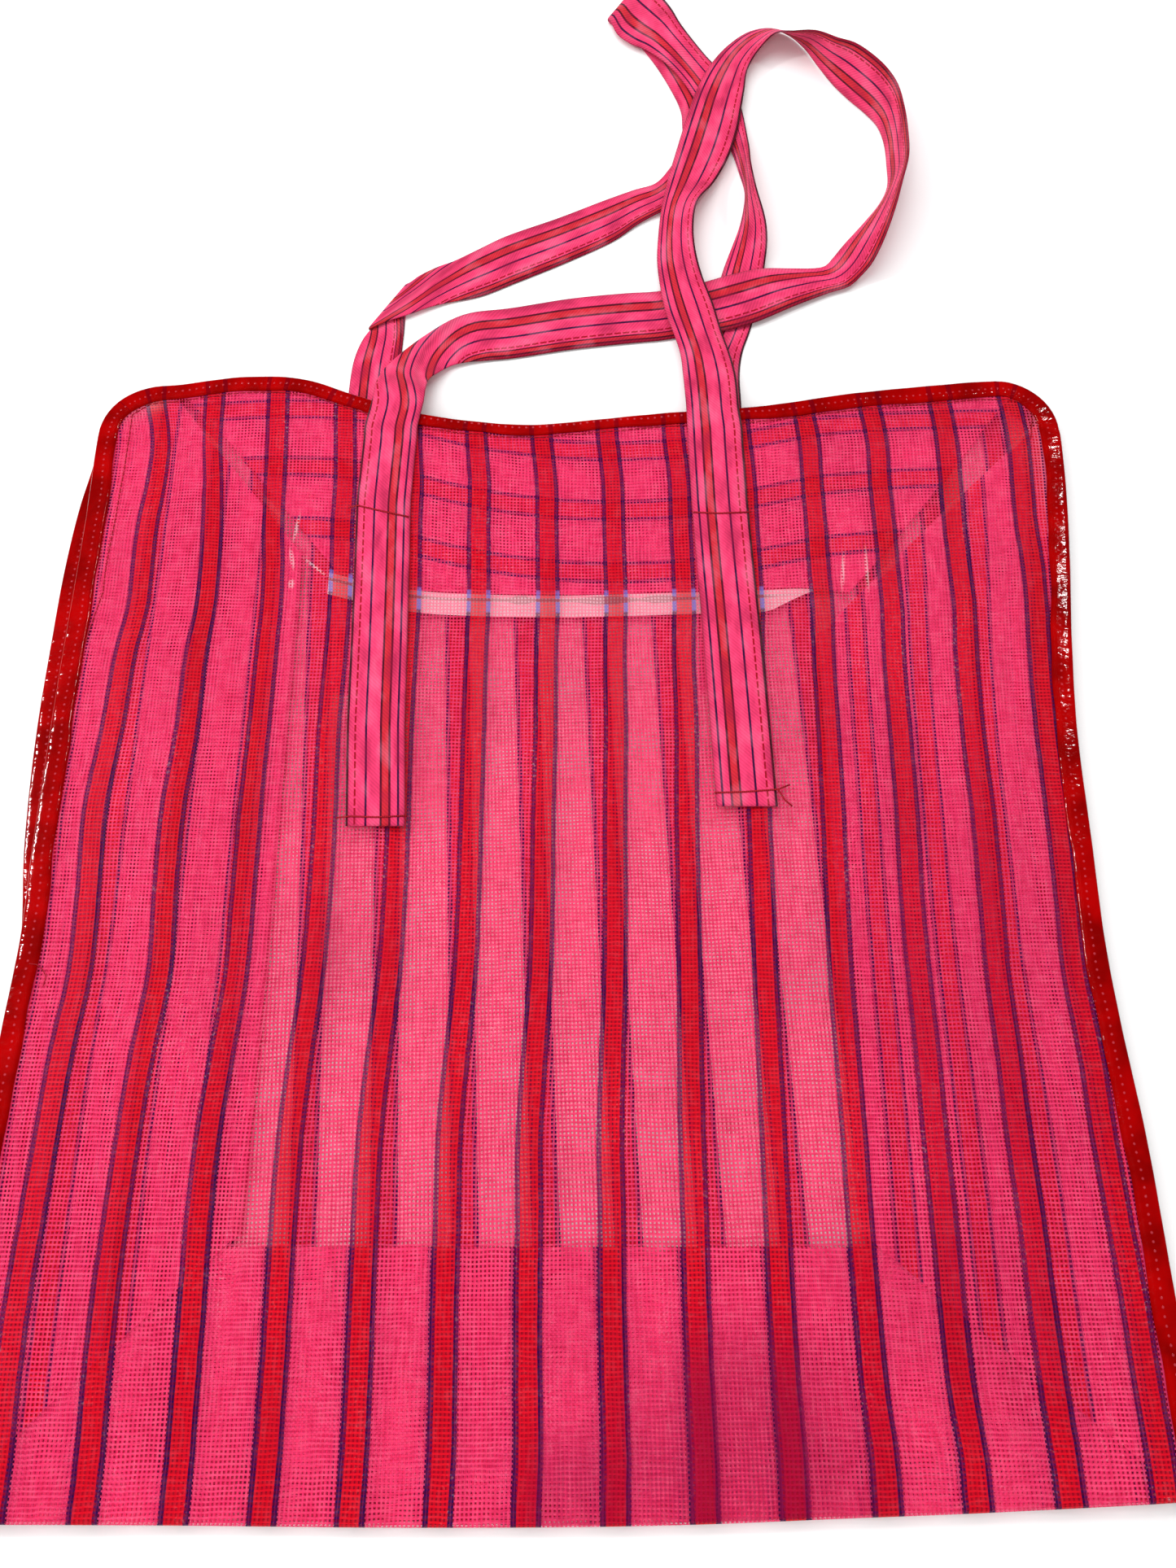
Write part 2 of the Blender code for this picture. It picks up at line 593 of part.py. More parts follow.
def edge_path(face):
    """Plan points round the left, top and right of the bag, from its foot to its foot."""
    top_y = SIDES[-1][0]
    left, right = float(side_x(face, "left", top_y)), float(side_x(face, "right", top_y))
    corner_left, corner_right = left + CORNER_RADIUS, right - CORNER_RADIUS
    shoulder_left = float(mouth_y(face, corner_left)) - CORNER_RADIUS
    shoulder_right = float(mouth_y(face, corner_right)) - CORNER_RADIUS
    up = steps(BINDING_FOOT, shoulder_left, GRID_STEP)
    down = steps(shoulder_right, BINDING_FOOT, GRID_STEP)
    along = steps(corner_left, corner_right, GRID_STEP)[1:-1]
    turn_angles = np.linspace(0, math.pi / 2, TURN_STEPS)
    path = [(float(side_x(face, "left", y)), y) for y in up[:-1]]
    for angle in turn_angles:
        x = corner_left - CORNER_RADIUS * math.cos(angle)
        path.append((x, float(mouth_y(face, x))))
    path += [(x, float(mouth_y(face, x))) for x in along]
    for angle in turn_angles[::-1]:
        x = corner_right + CORNER_RADIUS * math.cos(angle)
        path.append((x, float(mouth_y(face, x))))
    path += [(float(side_x(face, "right", y)), y) for y in down[1:]]
    return np.array(path)


def build_binding(face):
    """Vinyl folded over a panel's edge and the edge of the strip below or above it."""
    upper = LEVEL_FRONT if face == "front" else LEVEL_GUSSET_LOWER
    lower = LEVEL_GUSSET_UPPER if face == "front" else LEVEL_BACK
    path = edge_path(face)
    direction = np.gradient(path, axis=0)
    direction /= np.linalg.norm(direction, axis=1, keepdims=True)
    outward = np.stack([-direction[:, 1], direction[:, 0]], axis=1)
    sections = []
    for point, out in zip(path, outward):
        on_top = out[1] ** 2
        wide = BINDING_SIDE_WIDE + (BINDING_TOP_WIDE - BINDING_SIDE_WIDE) * on_top
        inside = point - out * (wide / 2)
        high = float(layer_z(upper, *inside)) + CLOTH_THICK / 2 + VINYL_GAP
        low = float(layer_z(lower, *inside)) - CLOTH_THICK / 2 - VINYL_GAP
        soft = VINYL_THICK / 2
        profile = (
            (-wide, high + VINYL_THICK),
            (-soft, high + VINYL_THICK),
            (0, high + VINYL_THICK - soft),
            (0, low - VINYL_THICK + soft),
            (-soft, low - VINYL_THICK),
            (-wide, low - VINYL_THICK),
            (-wide, low),
            (-VINYL_THICK, low),
            (-VINYL_THICK, high),
            (-wide, high),
        )
        sections.append([(*(point + out * offset), z) for offset, z in profile])
    loft_solid("binding_" + face, "red_vinyl", np.array(sections))


def smooth_route(rows):
    """Pairs of strap edges at an even spacing, on a smooth curve through the rows."""
    rows = np.array(rows, float)
    centres = (rows[:, :3] + rows[:, 3:]) / 2
    gaps = np.sqrt(np.linalg.norm(np.diff(centres, axis=0), axis=1)) + LEAST_GAP
    knots = np.concatenate([[0], np.cumsum(gaps)])
    slopes = np.empty_like(rows)
    slopes[0] = (rows[1] - rows[0]) / gaps[0]
    slopes[-1] = (rows[-1] - rows[-2]) / gaps[-1]
    for row in range(1, len(rows) - 1):
        before, after = gaps[row - 1], gaps[row]
        slopes[row] = (
            (rows[row] - rows[row - 1]) / before
            - (rows[row + 1] - rows[row - 1]) / (before + after)
            + (rows[row + 1] - rows[row]) / after
        )
    found = [rows[0]]
    for row in range(len(rows) - 1):
        length = np.linalg.norm(centres[row + 1] - centres[row])
        pieces = max(1, math.ceil(length / STRAP_STEP))
        for t in np.linspace(0, 1, pieces + 1)[1:]:
            start = (2 * t**3 - 3 * t**2 + 1) * rows[row] + (3 * t**2 - 2 * t**3) * rows[row + 1]
            lean = (t**3 - 2 * t**2 + t) * slopes[row] + (t**3 - t**2) * slopes[row + 1]
            found.append(start + lean * gaps[row])
    return np.array(found)


def strap_solid(name, route):
    """A flat strap along a route: each section is thin at its two edges and thicker in its middle."""
    left, right = route[:, :3], route[:, 3:]
    across = right - left
    ahead = np.gradient((left + right) / 2, axis=0)
    normal = np.cross(across, ahead)
    normal /= np.linalg.norm(normal, axis=1, keepdims=True)
    sections = []
    for near, far, up in zip(left, right, normal):
        edge, body = up * STRAP_EDGE_THICK / 2, up * STRAP_MIDDLE_THICK / 2
        middle = (near + far) / 2
        sections.append([near + edge, middle + body, far + edge, far - edge, middle - body, near - edge])
    loft_solid(name, "strap_cloth", np.array(sections))


def front_end(rows):
    """Edges of one sewn end of the front strap, resting on the front panel and on the binding."""
    rows = np.array(rows, float)
    found = []
    for y in steps(rows[0, 2], rows[-1, 2], STRAP_STEP):
        left, right = np.interp(y, rows[:, 2], rows[:, 0]), np.interp(y, rows[:, 2], rows[:, 1])
        middle = (left + right) / 2
        climb_from = mouth_y("front", middle) - STRAP_CLIMB_START
        raised = (VINYL_THICK + VINYL_GAP) * smooth_step((y - climb_from) / STRAP_CLIMB)
        clear = CLOTH_THICK / 2 + STRAP_CLEAR + STRAP_MIDDLE_THICK / 2
        height = [float(front_z(x, y)) + clear + float(raised) for x in (left, right)]
        level = max(height)
        found.append((left, y, level, right, y, level))
    return found


def build_straps():
    """The two carrying straps."""
    front = front_end(FRONT_LEFT_END) + list(FRONT_ROUTE)
    right_end = front_end(FRONT_RIGHT_END)[::-1]
    strap_solid("strap_front", smooth_route(front + right_end))
    strap_solid("strap_back", smooth_route(BACK_ROUTE))


def main():
    """Builds every piece of the bag."""
    build_body()
    for side in ("left", "right"):
        build_gusset(side)
    for face in ("front", "back"):
        build_closure(face)
        build_binding(face)
    build_tape()
    build_straps()


main()
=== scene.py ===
"""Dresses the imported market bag: striped plastic mesh, red vinyl binding, woven straps and sewing.

It is laid out as a Blender add-on and run as a script. Lengths are millimetres in the bag's plan, whose
origin is the middle of the lower edge, and become metres where a mesh is made.
"""

import math
from functools import partial

import bpy
import numpy as np
from bpy.props import FloatProperty, FloatVectorProperty, PointerProperty
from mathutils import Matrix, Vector


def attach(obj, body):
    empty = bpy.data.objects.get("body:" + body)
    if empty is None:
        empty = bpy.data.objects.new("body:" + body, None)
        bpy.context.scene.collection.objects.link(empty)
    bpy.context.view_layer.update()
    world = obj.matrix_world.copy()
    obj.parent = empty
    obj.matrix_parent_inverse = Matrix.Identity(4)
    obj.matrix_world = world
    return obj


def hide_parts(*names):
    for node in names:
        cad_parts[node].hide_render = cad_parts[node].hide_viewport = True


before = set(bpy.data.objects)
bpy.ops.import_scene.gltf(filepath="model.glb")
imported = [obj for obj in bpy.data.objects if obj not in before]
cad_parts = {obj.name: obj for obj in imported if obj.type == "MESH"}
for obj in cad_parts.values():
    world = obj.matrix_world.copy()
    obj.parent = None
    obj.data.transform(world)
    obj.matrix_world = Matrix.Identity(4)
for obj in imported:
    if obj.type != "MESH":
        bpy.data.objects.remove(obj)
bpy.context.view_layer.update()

bl_info = {
    "name": "Striped Mesh Market Bag",
    "version": (1, 0, 0),
    "blender": (4, 5, 0),
    "location": "3D View > Sidebar > Market Bag",
    "description": "Builds the cloth, binding, straps and sewing of a folded market bag",
    "category": "Object",
}

METRE = 0.001
BODY = "root"

# The middle of the bag's footprint, in plan positions
FOOTPRINT_MIDDLE = (-9.1, 402.25)

# How the layers of cloth lie on each other
CLOTH_THICK = 1.0
LAYER_PITCH = 1.45
MIDDLE_SQUASH = 0.62
FLOOR_GAP = 0.05
LEVELS = {
    "back": 0.0,
    "gusset_lower": 1.0,
    "base_lower": 2.0,
    "tape": 2.5,
    "base_upper": 3.0,
    "gusset_upper": 4.0,
    "front": 5.0,
}

# How far the seam under the binding pulls a layer towards its neighbour, in levels
SEAM_PULL = {"back": 0.34, "gusset_lower": -0.34, "gusset_upper": 0.34, "front": -0.34}
SEAM_START, SEAM_REACH = 5.0, 14.0

# What lifts the layers off the surface: the binding round the edges and the rear strap's sewn ends
LIFT = 1.6
LIFT_LEFT_FULL, LIFT_LEFT_NONE = -220.0, -146.0
LIFT_RIGHT_FULL, LIFT_RIGHT_NONE = 204.0, 130.0
LIFT_TOP_FULL, LIFT_TOP_NONE = 470.0, 396.0
STRAP_LIFT_CENTRES = (-110.0, 66.0)
STRAP_LIFT_FULL, STRAP_LIFT_NONE = 21.0, 80.0
STRAP_LIFT_TOP, STRAP_LIFT_FOOT = 328.0, 262.0

# Where the folds and the inner strips lie
GUSSET_FOLD = {"left": -140.5, "right": 111.0}
FOLD_FOOT = 2.7
GUSSET_FOOT = 5.2
GUSSET_FOLD_FOOT = 101.0
BASE_FOLD = 96.5
BASE_END_INSET = 14.0
CLOSURE_FOOT = 391.0
CLOSURE_TOP = {"left": (-211.0, 505.0), "right": (222.0, 483.0)}
CLOSURE_END = {"left": (-122.0, 391.0), "right": (127.0, 387.0)}
CLOSURE_OVER_TAPE = 0.4
CLOSURE_SINKS_FROM = 0.2
MITRE_GAP = 1.5
TAPE_TALL = 11.7
TAPE_LEFT, TAPE_RIGHT = -125.0, 108.0
TAPE_TAPER = 24.0
TAPE_SEAM = -5.2

# How far inside the gusset, base and closure the layers start and stop settling together
SQUASH_LEFT, SQUASH_RIGHT = -116.0, 86.0
SQUASH_BASE, SQUASH_CLOSURE = 122.0, 356.0
SQUASH_REACH = 60.0

# The binding and the straps
CORNER_RADIUS = 29.0
BINDING_SIDE_WIDE, BINDING_TOP_WIDE = 10.0, 7.5
BINDING_FOOT = 7.7
CLOTH_INSET = 1.6
INNER_INSET = 2.2
STRAP_WIDE = 27.0
STRAP_REST = 1.35
STRAP_CLIMBS_BEFORE = 22.5
BINDING_STEP = 1.3
VINYL_GAP = 0.2

# The pressed strap's section: share of its width, share of its half thickness
STRAP_CROWN = (
    (0.0, 0.0),
    (0.03, 0.75),
    (0.12, 0.95),
    (0.3, 0.85),
    (0.5, 1.0),
    (0.7, 0.85),
    (0.88, 0.95),
    (0.97, 0.75),
    (1.0, 0.0),
)

# Edges of the bag in plan: y, front left x, front right x, back left x, back right x
SIDES = (
    (-10, -245, 231, -245, 230),
    (0, -245, 231, -245, 230),
    (95, -247, 229, -247, 228),
    (140, -247.5, 227.5, -248, 226),
    (185, -246, 224, -247, 222.5),
    (217, -244.5, 222.5, -246.5, 220.5),
    (265, -245.5, 223, -252, 220),
    (321, -246, 224, -255, 219.5),
    (363, -246, 227.5, -255, 222.5),
    (407, -245.5, 232.5, -254.3, 228.5),
    (440, -245.5, 235.5, -252, 232.5),
    (466, -246, 237, -248.5, 234.5),
    (520, -246, 237, -247.5, 234.5),
)

# The mouth of the bag in plan: x, y. It dips in the middle
MOUTH = (
    (-260, 507.5),
    (-212, 508.5),
    (-176, 513.5),
    (-146, 511.5),
    (-116, 500.5),
    (-84, 490),
    (-56, 486),
    (-28, 484.5),
    (0, 487),
    (40, 490.5),
    (90, 495),
    (135, 503.5),
    (177, 508.5),
    (205, 511),
    (240, 510.5),
)
BACK_MOUTH_DROP = 1.0

# The closure's lower edge in plan, which the tape follows: x, y
TAPE_EDGE = (
    (-126, 402),
    (-113, 398.4),
    (-85, 392.3),
    (-48, 390.4),
    (-13, 390),
    (40, 390.8),
    (81, 391.9),
    (106, 393),
    (127, 391),
)

# Where the closure's slanted ends show through the front: from x, from y, to x, to y
CLOSURE_SEAM_WIDE = 2.6
CLOSURE_SEAMS = (
    (-209.5, 499, -127, 404),
    (222.7, 481.7, 125.3, 383.5),
)

# Width of the binding along the mouth: x, width
MOUTH_BINDING = (
    (-230, 9.5),
    (-150, 8.5),
    (-60, 6.5),
    (10, 6.5),
    (90, 8),
    (150, 9.5),
    (225, 10),
)

# Soft patches of painted shade on the front below 0, and of painted light above 0:
# x, y, half width, half height, lean in degrees, amount
PAINTED_SHADE_AND_LIGHT_PATCHES = (
    (58, 22, 46, 42, 8, -0.7),
    (-8, 8, 16, 24, 0, -0.5),
    (168, 195, 50, 96, -4, -0.2),
    (206, 262, 18, 55, -6, -0.06),
    (150, 70, 60, 34, 0, -0.15),
    (-104, 226, 16, 32, 0, -0.16),
    (-160, 205, 14, 60, 4, -0.12),
    (-136, 106, 9, 14, 10, 0.12),
    (225, 468, 3.4, 36, -3, 0.4),
    (-226, 494, 13, 5, 30, 0.45),
)

# Bright glints on the creases beside the closure's lower corners:
# x, y, half width, half height, lean in degrees
GLINTS = (
    (-141.5, 424, 1.1, 9, -8),
    (-142.5, 407, 1.3, 7, 12),
    (-141.7, 393.5, 2.0, 3, 0),
    (-131, 402.5, 1.0, 9, 50),
    (122.5, 401, 1.3, 12, -6),
    (134, 402, 1.1, 15, 0),
)

# Blots of red dye on the tape: x, half width
TAPE_BLOTS = (
    (-32, 7),
    (8, 16),
    (34, 9),
)

# Soft folds pressed into the front: from x, from y, to x, to y, height, half width
FRONT_FOLDS = (
    (-235, 300, -150, 470, 1.6, 26),
    (-60, 470, 10, 330, 1.2, 30),
    (20, 40, 130, 300, 1.6, 30),
    (150, 150, 226, 330, 1.8, 26),
    (-190, 40, -150, 260, 1.2, 30),
    (-70, 60, -30, 240, 1.3, 28),
)

# How far inside the lifted edges the folds fade out
FOLD_FADE = 27.0

# Narrow creases in the front, in the same columns
FRONT_CREASES = (
    (-205, 480, -168, 360, 1.1, 6),
    (-186, 500, -160, 420, -0.7, 5),
    (-232, 492, -200, 480, 1.2, 5),
    (-150, 330, -128, 230, 0.9, 6),
    (-75, 330, -58, 215, 0.8, 7),
    (-20, 300, 5, 170, 0.8, 7),
    (75, 300, 92, 190, 1.0, 7),
    (120, 470, 150, 360, 1.0, 6),
    (170, 420, 205, 260, 1.1, 6),
    (-100, 180, -84, 60, 0.8, 7),
    (40, 180, 60, 50, 0.8, 7),
    (150, 140, 190, 20, 1.0, 7),
)

# The small unevenness of loose cloth, and the puckers along the front's bound edges
FRONT_RIPPLE_RISE, INNER_RIPPLE_RISE, RIPPLE_SHIFT = 0.28, 0.15, 40
PUCKER_RISE, PUCKER_REACH = 0.12, 32.0

# The stripes of the front in plan: y, then the middle x of the stripes numbered in STRIPE_NUMBERS
STRIPE_PITCH = 33.55
STRIPE_NUMBERS = (1, 2, 3, 4, 7, 10, 11, 12, 13, 14)
STRIPE_PLACES = (
    (5, -221, -187, -153.5, -121, -23, 77, 111.5, 145, 179.5, 214.5),
    (21, -221, -187, -153.5, -120.5, -22.5, 77, 111.5, 145, 179, 214.5),
    (48, -222, -188, -154, -120.5, -23, 76, 109.5, 142.5, 177.5, 213.5),
    (77, -222.5, -188.5, -154.5, -121, -23.5, 75.5, 109, 142, 176.5, 213),
    (107, -221.5, -188, -155.5, -121.5, -23.5, 75.5, 108.5, 142, 176.5, 211.5),
    (139, -220.5, -187, -155, -121.5, -24, 75.5, 108.5, 141.5, 175.5, 210),
    (171, -219.5, -185.5, -152.5, -120, -22.5, 75.5, 108, 141.5, 175, 209.5),
    (206, -216.5, -182.5, -150, -117.5, -20.5, 75.5, 107.5, 141, 174, 207),
    (241, -217.5, -184.5, -150.5, -117, -20, 76, 108.5, 141, 175, 208),
    (279, -220, -185.5, -151, -117.5, -20, 76.5, 109.5, 142.5, 176, 209),
    (318, -217.5, -183.5, -150.5, -118.5, -19.5, 77.5, 110, 143, 176, 209.5),
    (360, -216, -183, -150.5, -118, -19.5, 77, 110.5, 143.5, 177, 211.5),
    (381, -213.5, -181, -150.5, -118, -19, 78, 111.5, 144.5, 178.5, 213),
    (403, -214, -181, -151.5, -118.5, -19.5, 78, 111, 144.5, 178.5, 214),
    (426, -214.5, -182.5, -153.5, -119.5, -20, 77.5, 111, 144.5, 178.5, 213.5),
    (449, -213, -185, -154.5, -119.5, -20.5, 77.5, 110.5, 144, 179, 214.5),
    (473, -213, -188.5, -155.5, -121, -23, 76, 110.5, 144.5, 179.5, 215.5),
    (503, -220, -190, -157.5, -123, -24.5, 74.5, 107, 141.5, 178, 213.5),
)

# How the back's stripes lean away from the front's: their shift is none at this y and grows by this slope
BACK_STRIPE_EVEN_Y, BACK_STRIPE_LEAN, BACK_STRIPE_SHIFT_MOST = 243.0, 0.045, 7.0
BASE_STRIPE_SLANT = 0.02
GUSSET_STRIPE_SHIFT = {"left": 21.5, "right": -15.0}

# The closure's uppermost stripe in plan, which follows the mouth: x, y
CLOSURE_STRIPE = (
    (-212, 491),
    (-165, 494),
    (-118, 491.5),
    (-60, 477),
    (-10, 470),
    (40, 469.5),
    (75, 474),
    (115, 483),
    (190, 488.5),
    (222, 489),
)

# The fold between the front and the base, in plan: x, y
FOLD_EDGE = (
    (-250, 2.7),
    (60, 2.9),
    (100, 4.4),
    (148, 6.1),
    (193, 8.3),
    (235, 10.4),
)

# The front strap's two sewn ends, from the lower end up to the mouth: left x, right x, y
FRONT_LEFT_END = (
    (-107.7, -81.2, 272),
    (-110, -83.5, 320),
    (-111, -84.5, 363),
    (-113, -86.5, 438),
    (-111.5, -85, 480),
)
FRONT_RIGHT_END = (
    (57.2, 84.7, 281),
    (55.5, 83, 325),
    (54, 81.5, 363),
    (50.5, 78, 438),
    (49.5, 77, 480),
)

# The front strap between its sewn ends: left edge x, y, z, right edge x, y, z
FRONT_ROUTE = (
    (-108.4, 497, 14, -82.5, 495, 14),
    (-107.5, 506, 13.6, -82, 503, 13.6),
    (-105, 518, 9, -81, 512.5, 9),
    (-100, 528, 5.6, -77, 519, 5.6),
    (-92, 538, 4, -71.5, 525, 3),
    (-83.5, 546, 3.5, -67, 527, 2.5),
    (-73, 554, 3.5, -61.5, 528.5, 2),
    (-62, 558.5, 4, -52, 530, 1.2),
    (-42, 560.5, 5, -39.5, 531.5, 1),
    (-9.5, 566, 6, -9.5, 537, 1),
    (20.5, 570.5, 5, 20.5, 541, 1),
    (36.5, 573, 3.5, 38.5, 543, 1),
    (50, 576.5, 3, 52.5, 545.5, 1.2),
    (61.5, 579, 3.6, 69, 547.5, 2.4),
    (76.5, 583, 5, 88, 553, 3),
    (93, 587, 5, 110, 564, 3),
    (110, 588, 4, 129, 573, 2.5),
    (122, 589.5, 2.5, 140, 577, 3),
    (128, 592, 1.5, 145.5, 581.5, 5),
    (132, 597, 1.2, 150.5, 585.5, 9),
    (139.5, 607.5, 1, 156, 594, 16),
    (150.5, 621, 1, 163, 612, 22),
    (160.5, 634.5, 1, 167.5, 628, 25),
    (166, 647, 0.8, 172, 645, 26),
    (167, 663, 0.8, 173, 663, 26),
    (166.8, 679, 0.8, 172.5, 679, 26),
    (164, 692, 0.8, 170.5, 694.5, 26),
    (157.7, 702, 0.8, 166, 707, 25.5),
    (149.5, 712, 0.8, 159, 718, 25),
    (141, 724, 0.8, 149.5, 728, 24.5),
    (134, 737, 0.8, 140.5, 731, 25),
    (126, 753, 0.8, 128.5, 740, 22.5),
    (118, 763, 0.9, 117, 743.5, 19),
    (108, 767.5, 1.5, 107.5, 747, 15),
    (95, 763.5, 3, 98.5, 740.5, 10),
    (81.5, 750.5, 4.6, 91.5, 728, 7.5),
    (70.5, 733.5, 6, 89, 713, 6.8),
    (62.5, 716, 5.8, 86.5, 698, 6.4),
    (56.8, 697.5, 6, 84, 684, 6.2),
    (50.8, 675, 5.6, 78.5, 665, 5.8),
    (44, 648, 5.6, 69.5, 645, 7),
    (40, 627, 5.6, 59, 624, 14),
    (38, 609, 5.4, 56.2, 605.5, 15.5),
    (37, 592, 5.4, 57, 589, 15),
    (38, 575.5, 6.4, 60.3, 575.5, 12),
    (40.5, 557, 7, 66, 560.5, 8),
    (44.8, 542, 7, 69.5, 545, 7),
    (47.7, 528.5, 8, 73, 530, 8),
    (48.5, 513.5, 10.5, 75.3, 514.5, 10.5),
    (49, 499, 13.2, 75.7, 499, 13.2),
    (49.3, 490, 13.9, 75.8, 490, 13.9),
)

# The rear strap from its left sewn end to its right one, in the same columns
BACK_ROUTE = (
    (-124.5, 340, 0.65, -98, 340, 0.65),
    (-124.5, 420, 0.65, -98, 420, 0.65),
    (-124, 500, 0.65, -98.5, 500, 0.65),
    (-123, 526, 0.65, -98, 527.5, 0.65),
    (-121.5, 535, 0.65, -97.5, 538, 0.65),
    (-119, 543, 0.65, -97, 550, 0.65),
    (-116.5, 548, 0.65, -96.8, 564, 0.65),
    (-115, 549.5, 0.65, -96, 579, 0.65),
    (-115.8, 550, 1.65, -96.8, 580, 1.65),
    (-114.5, 549.5, 2.65, -95.5, 579.5, 2.65),
    (-106, 554, 2.65, -92, 583, 2.65),
    (-96, 558, 2.65, -87.5, 586.5, 2.5),
    (-84.5, 563.5, 2.2, -80, 591.5, 1.9),
    (-74.5, 567.5, 1.2, -73, 595.5, 1),
    (-57.5, 572, 0.65, -60.5, 603.5, 0.65),
    (-38, 581.5, 0.65, -45, 613, 0.65),
    (-11.5, 595, 0.65, -16, 626, 0.65),
    (14.5, 610, 0.65, 10.5, 639, 0.65),
    (28, 621, 1.5, 26, 646, 0.65),
    (40, 628.5, 2.2, 37.5, 650.5, 0.7),
    (53.5, 637, 2.2, 45.5, 661, 0.8),
    (66, 650.5, 1.5, 51, 672, 0.8),
    (74, 670, 1, 53.5, 682.5, 0.7),
    (77, 694, 0.7, 53.5, 692.5, 0.65),
    (75, 716, 0.65, 53, 703.5, 0.65),
    (68, 736, 0.65, 48.5, 718, 0.65),
    (59, 755, 0.65, 39, 739.5, 0.65),
    (48, 776, 0.65, 28, 757.5, 0.65),
    (36, 796, 0.8, 17.5, 769, 0.8),
    (31.5, 801.5, 1, 13, 772, 1),
    (30, 803.5, 2.1, 11.5, 774, 2.1),
    (32.5, 802.5, 3.2, 13, 771.5, 3.2),
    (39, 795, 5, 17, 761, 3.2),
    (44.5, 782, 9, 25, 753, 3.2),
    (49, 767, 13.5, 34, 748, 3.2),
    (53, 755.5, 14.5, 43, 740, 3.2),
    (60, 748, 10.5, 50, 731, 3.1),
    (69, 741.5, 4.2, 56, 721.5, 2.6),
    (76, 733.5, 2.8, 61, 711.5, 2),
    (84, 720.5, 2.6, 67, 701.5, 1.5),
    (87.5, 702.5, 3.2, 72, 691, 1.2),
    (88.5, 679, 9, 80, 675, 0.9),
    (88, 659, 17.5, 84.5, 656.5, 0.8),
    (87.5, 642.5, 22.5, 87, 643, 0.8),
    (90, 627, 21, 85.5, 630, 0.8),
    (94.5, 609.5, 17, 82, 616.5, 0.8),
    (96, 601, 10.5, 77.5, 603.5, 0.7),
    (95, 590.5, 3, 72.5, 588.5, 0.65),
    (93, 578.5, 0.9, 69, 574.5, 0.65),
    (89.5, 563.5, 0.65, 65.5, 558.5, 0.65),
    (85.5, 549, 0.65, 61, 544, 0.65),
    (81, 535.5, 0.65, 56, 533, 0.65),
    (79, 522.5, 0.65, 53.5, 521.5, 0.65),
    (79, 500, 0.65, 53, 500, 0.65),
    (79.3, 420, 0.65, 53, 420, 0.65),
    (79.3, 340, 0.65, 53, 340, 0.65),
)

# How each strap's cloth tube rolls by one width: from and to how far along it, and its roll at first
FRONT_ROLL = (216, 296, 0)
BACK_ROLL = (200, 282, -1)

# How much the threads hide of what is below: the front's, the inner layers', and how much more in a stripe
FRONT_COVER, INNER_COVER, STRIPE_EXTRA_COVER = 0.55, 0.92, 0.22

# Where the edge of a hole is, as a share of the way from a thread's middle to halfway to the next
WARP_GAP_FROM, WARP_EDGE, STRIPE_GAP_LATER = 0.38, 0.14, 0.14
WEFT_GAP = (0.36, 0.5)

# Values of the weave in pairs: how much each changes in a stripe, and what it is on the pink cloth
OPEN_IN_HOLES, WEFT_TINT, UNEVEN_SHARE = (-0.4, 0.75), (-0.14, 0.3), (-0.75, 1.0)

# Where the crosswise threads' colour is gone and where it is full, and how much painted shade darkens the
# gaps
WEFT_ON_TOP = (0.55, 0.15)
ROW_SHADE, STRIPE_ROW_SHADE, HOLE_SHADE = 0.07, 0.25, 0.4

# The cloth's unevenness where it is low and high, and there its brightness or how pale it is
CLOTH_GAIN = (0.7, 1.3, 0.88, 1.08)
BARE_PINK_LIGHT = (0.8, 1.25, 0.0, 0.006)

# In the same pairs: how much of that paleness shows, and of the glitter, which changes in the red
BARE_SHARE, GLITTER_SHARE = (-0.95, 1.0), (-0.7, 1.0)

# Where the painted sparkle of glittering threads begins and is full: in their own grain, and in the cloth's
# unevenness
GLITTER_GRAIN, GLITTER_CLOTH = (0.6, 0.72), (0.98, 1.3)

# The tape: how soft its edges and its left end are, half its seam's width, what a blot adds to that,
# and how strongly its seam and the lines on it show
TAPE_SOFT, TAPE_END_SOFT = 0.5, 0.6
TAPE_SEAM_HALF, TAPE_BLOT_HALF = 0.8, 1.3
SEAM_TINT, LINE_TINT = 0.9, 0.8

# The needle dots in the vinyl: distance squared where they end and where they are full, how they show
NEEDLE_FADE, NEEDLE_TINT, NEEDLE_SINKS = (0.4, 0.1), 0.35, 0.4

# Where the noise in the vinyl is darkest and brightest
VINYL_SHADE_RANGE = (0.35, 0.65)

# A purple line under the vinyl: half its width, and how strongly it shows
UNDER_VINYL_HALF, UNDER_VINYL_TINT = 1.2, 0.45

# How bright the strap is where it is darkest, and what its ribs, its patchy painted light and shade, and its
# middle add; its edges stay in painted shade
STRAP_DARKEST, RIB_GAIN, SHADING_NOISE_GAIN, EDGE_GAIN = 0.36, 0.28, 0.36, 0.28

# In strap widths: how far in from its folded edges the painted shade reaches, and how soft its stripes' edges
# are
STRAP_EDGE_WIDE, BAND_EDGE_SOFT = 0.13, 0.006

# How far the threads drift to and fro, in mm
WARP_DRIFT, WEFT_DRIFT = 0.5, 1.2

# Sizes of the patches and streaks of the mesh: across the cloth and along it where there are two
DRIFT_SIZE, PATCH_SIZE, STREAK_SIZES = 9.091, 55.56, (9.091, 111.1)
UNEVEN_SIZES = ((8.333, 2.381), (2.381, 10.0))
GLITTER_SIZE = 1.3333

# Sizes in the vinyl and in the tape, along the piece and across it
VINYL_SHADE_SIZE, VINYL_DENT_SIZES = 20.0, (3.3333, 6.25)
FILM_STREAK_SIZES = (50.0, 1.1111)

# Sizes in the straps: of patches of painted light and shade, and of the streaks of painted sheen and shade,
# across the strap, in its widths, and along it
STRAP_SHADING_NOISE_SIZE, STRAP_FALL_SIZES = 14.286, (0.3125, 22.222)

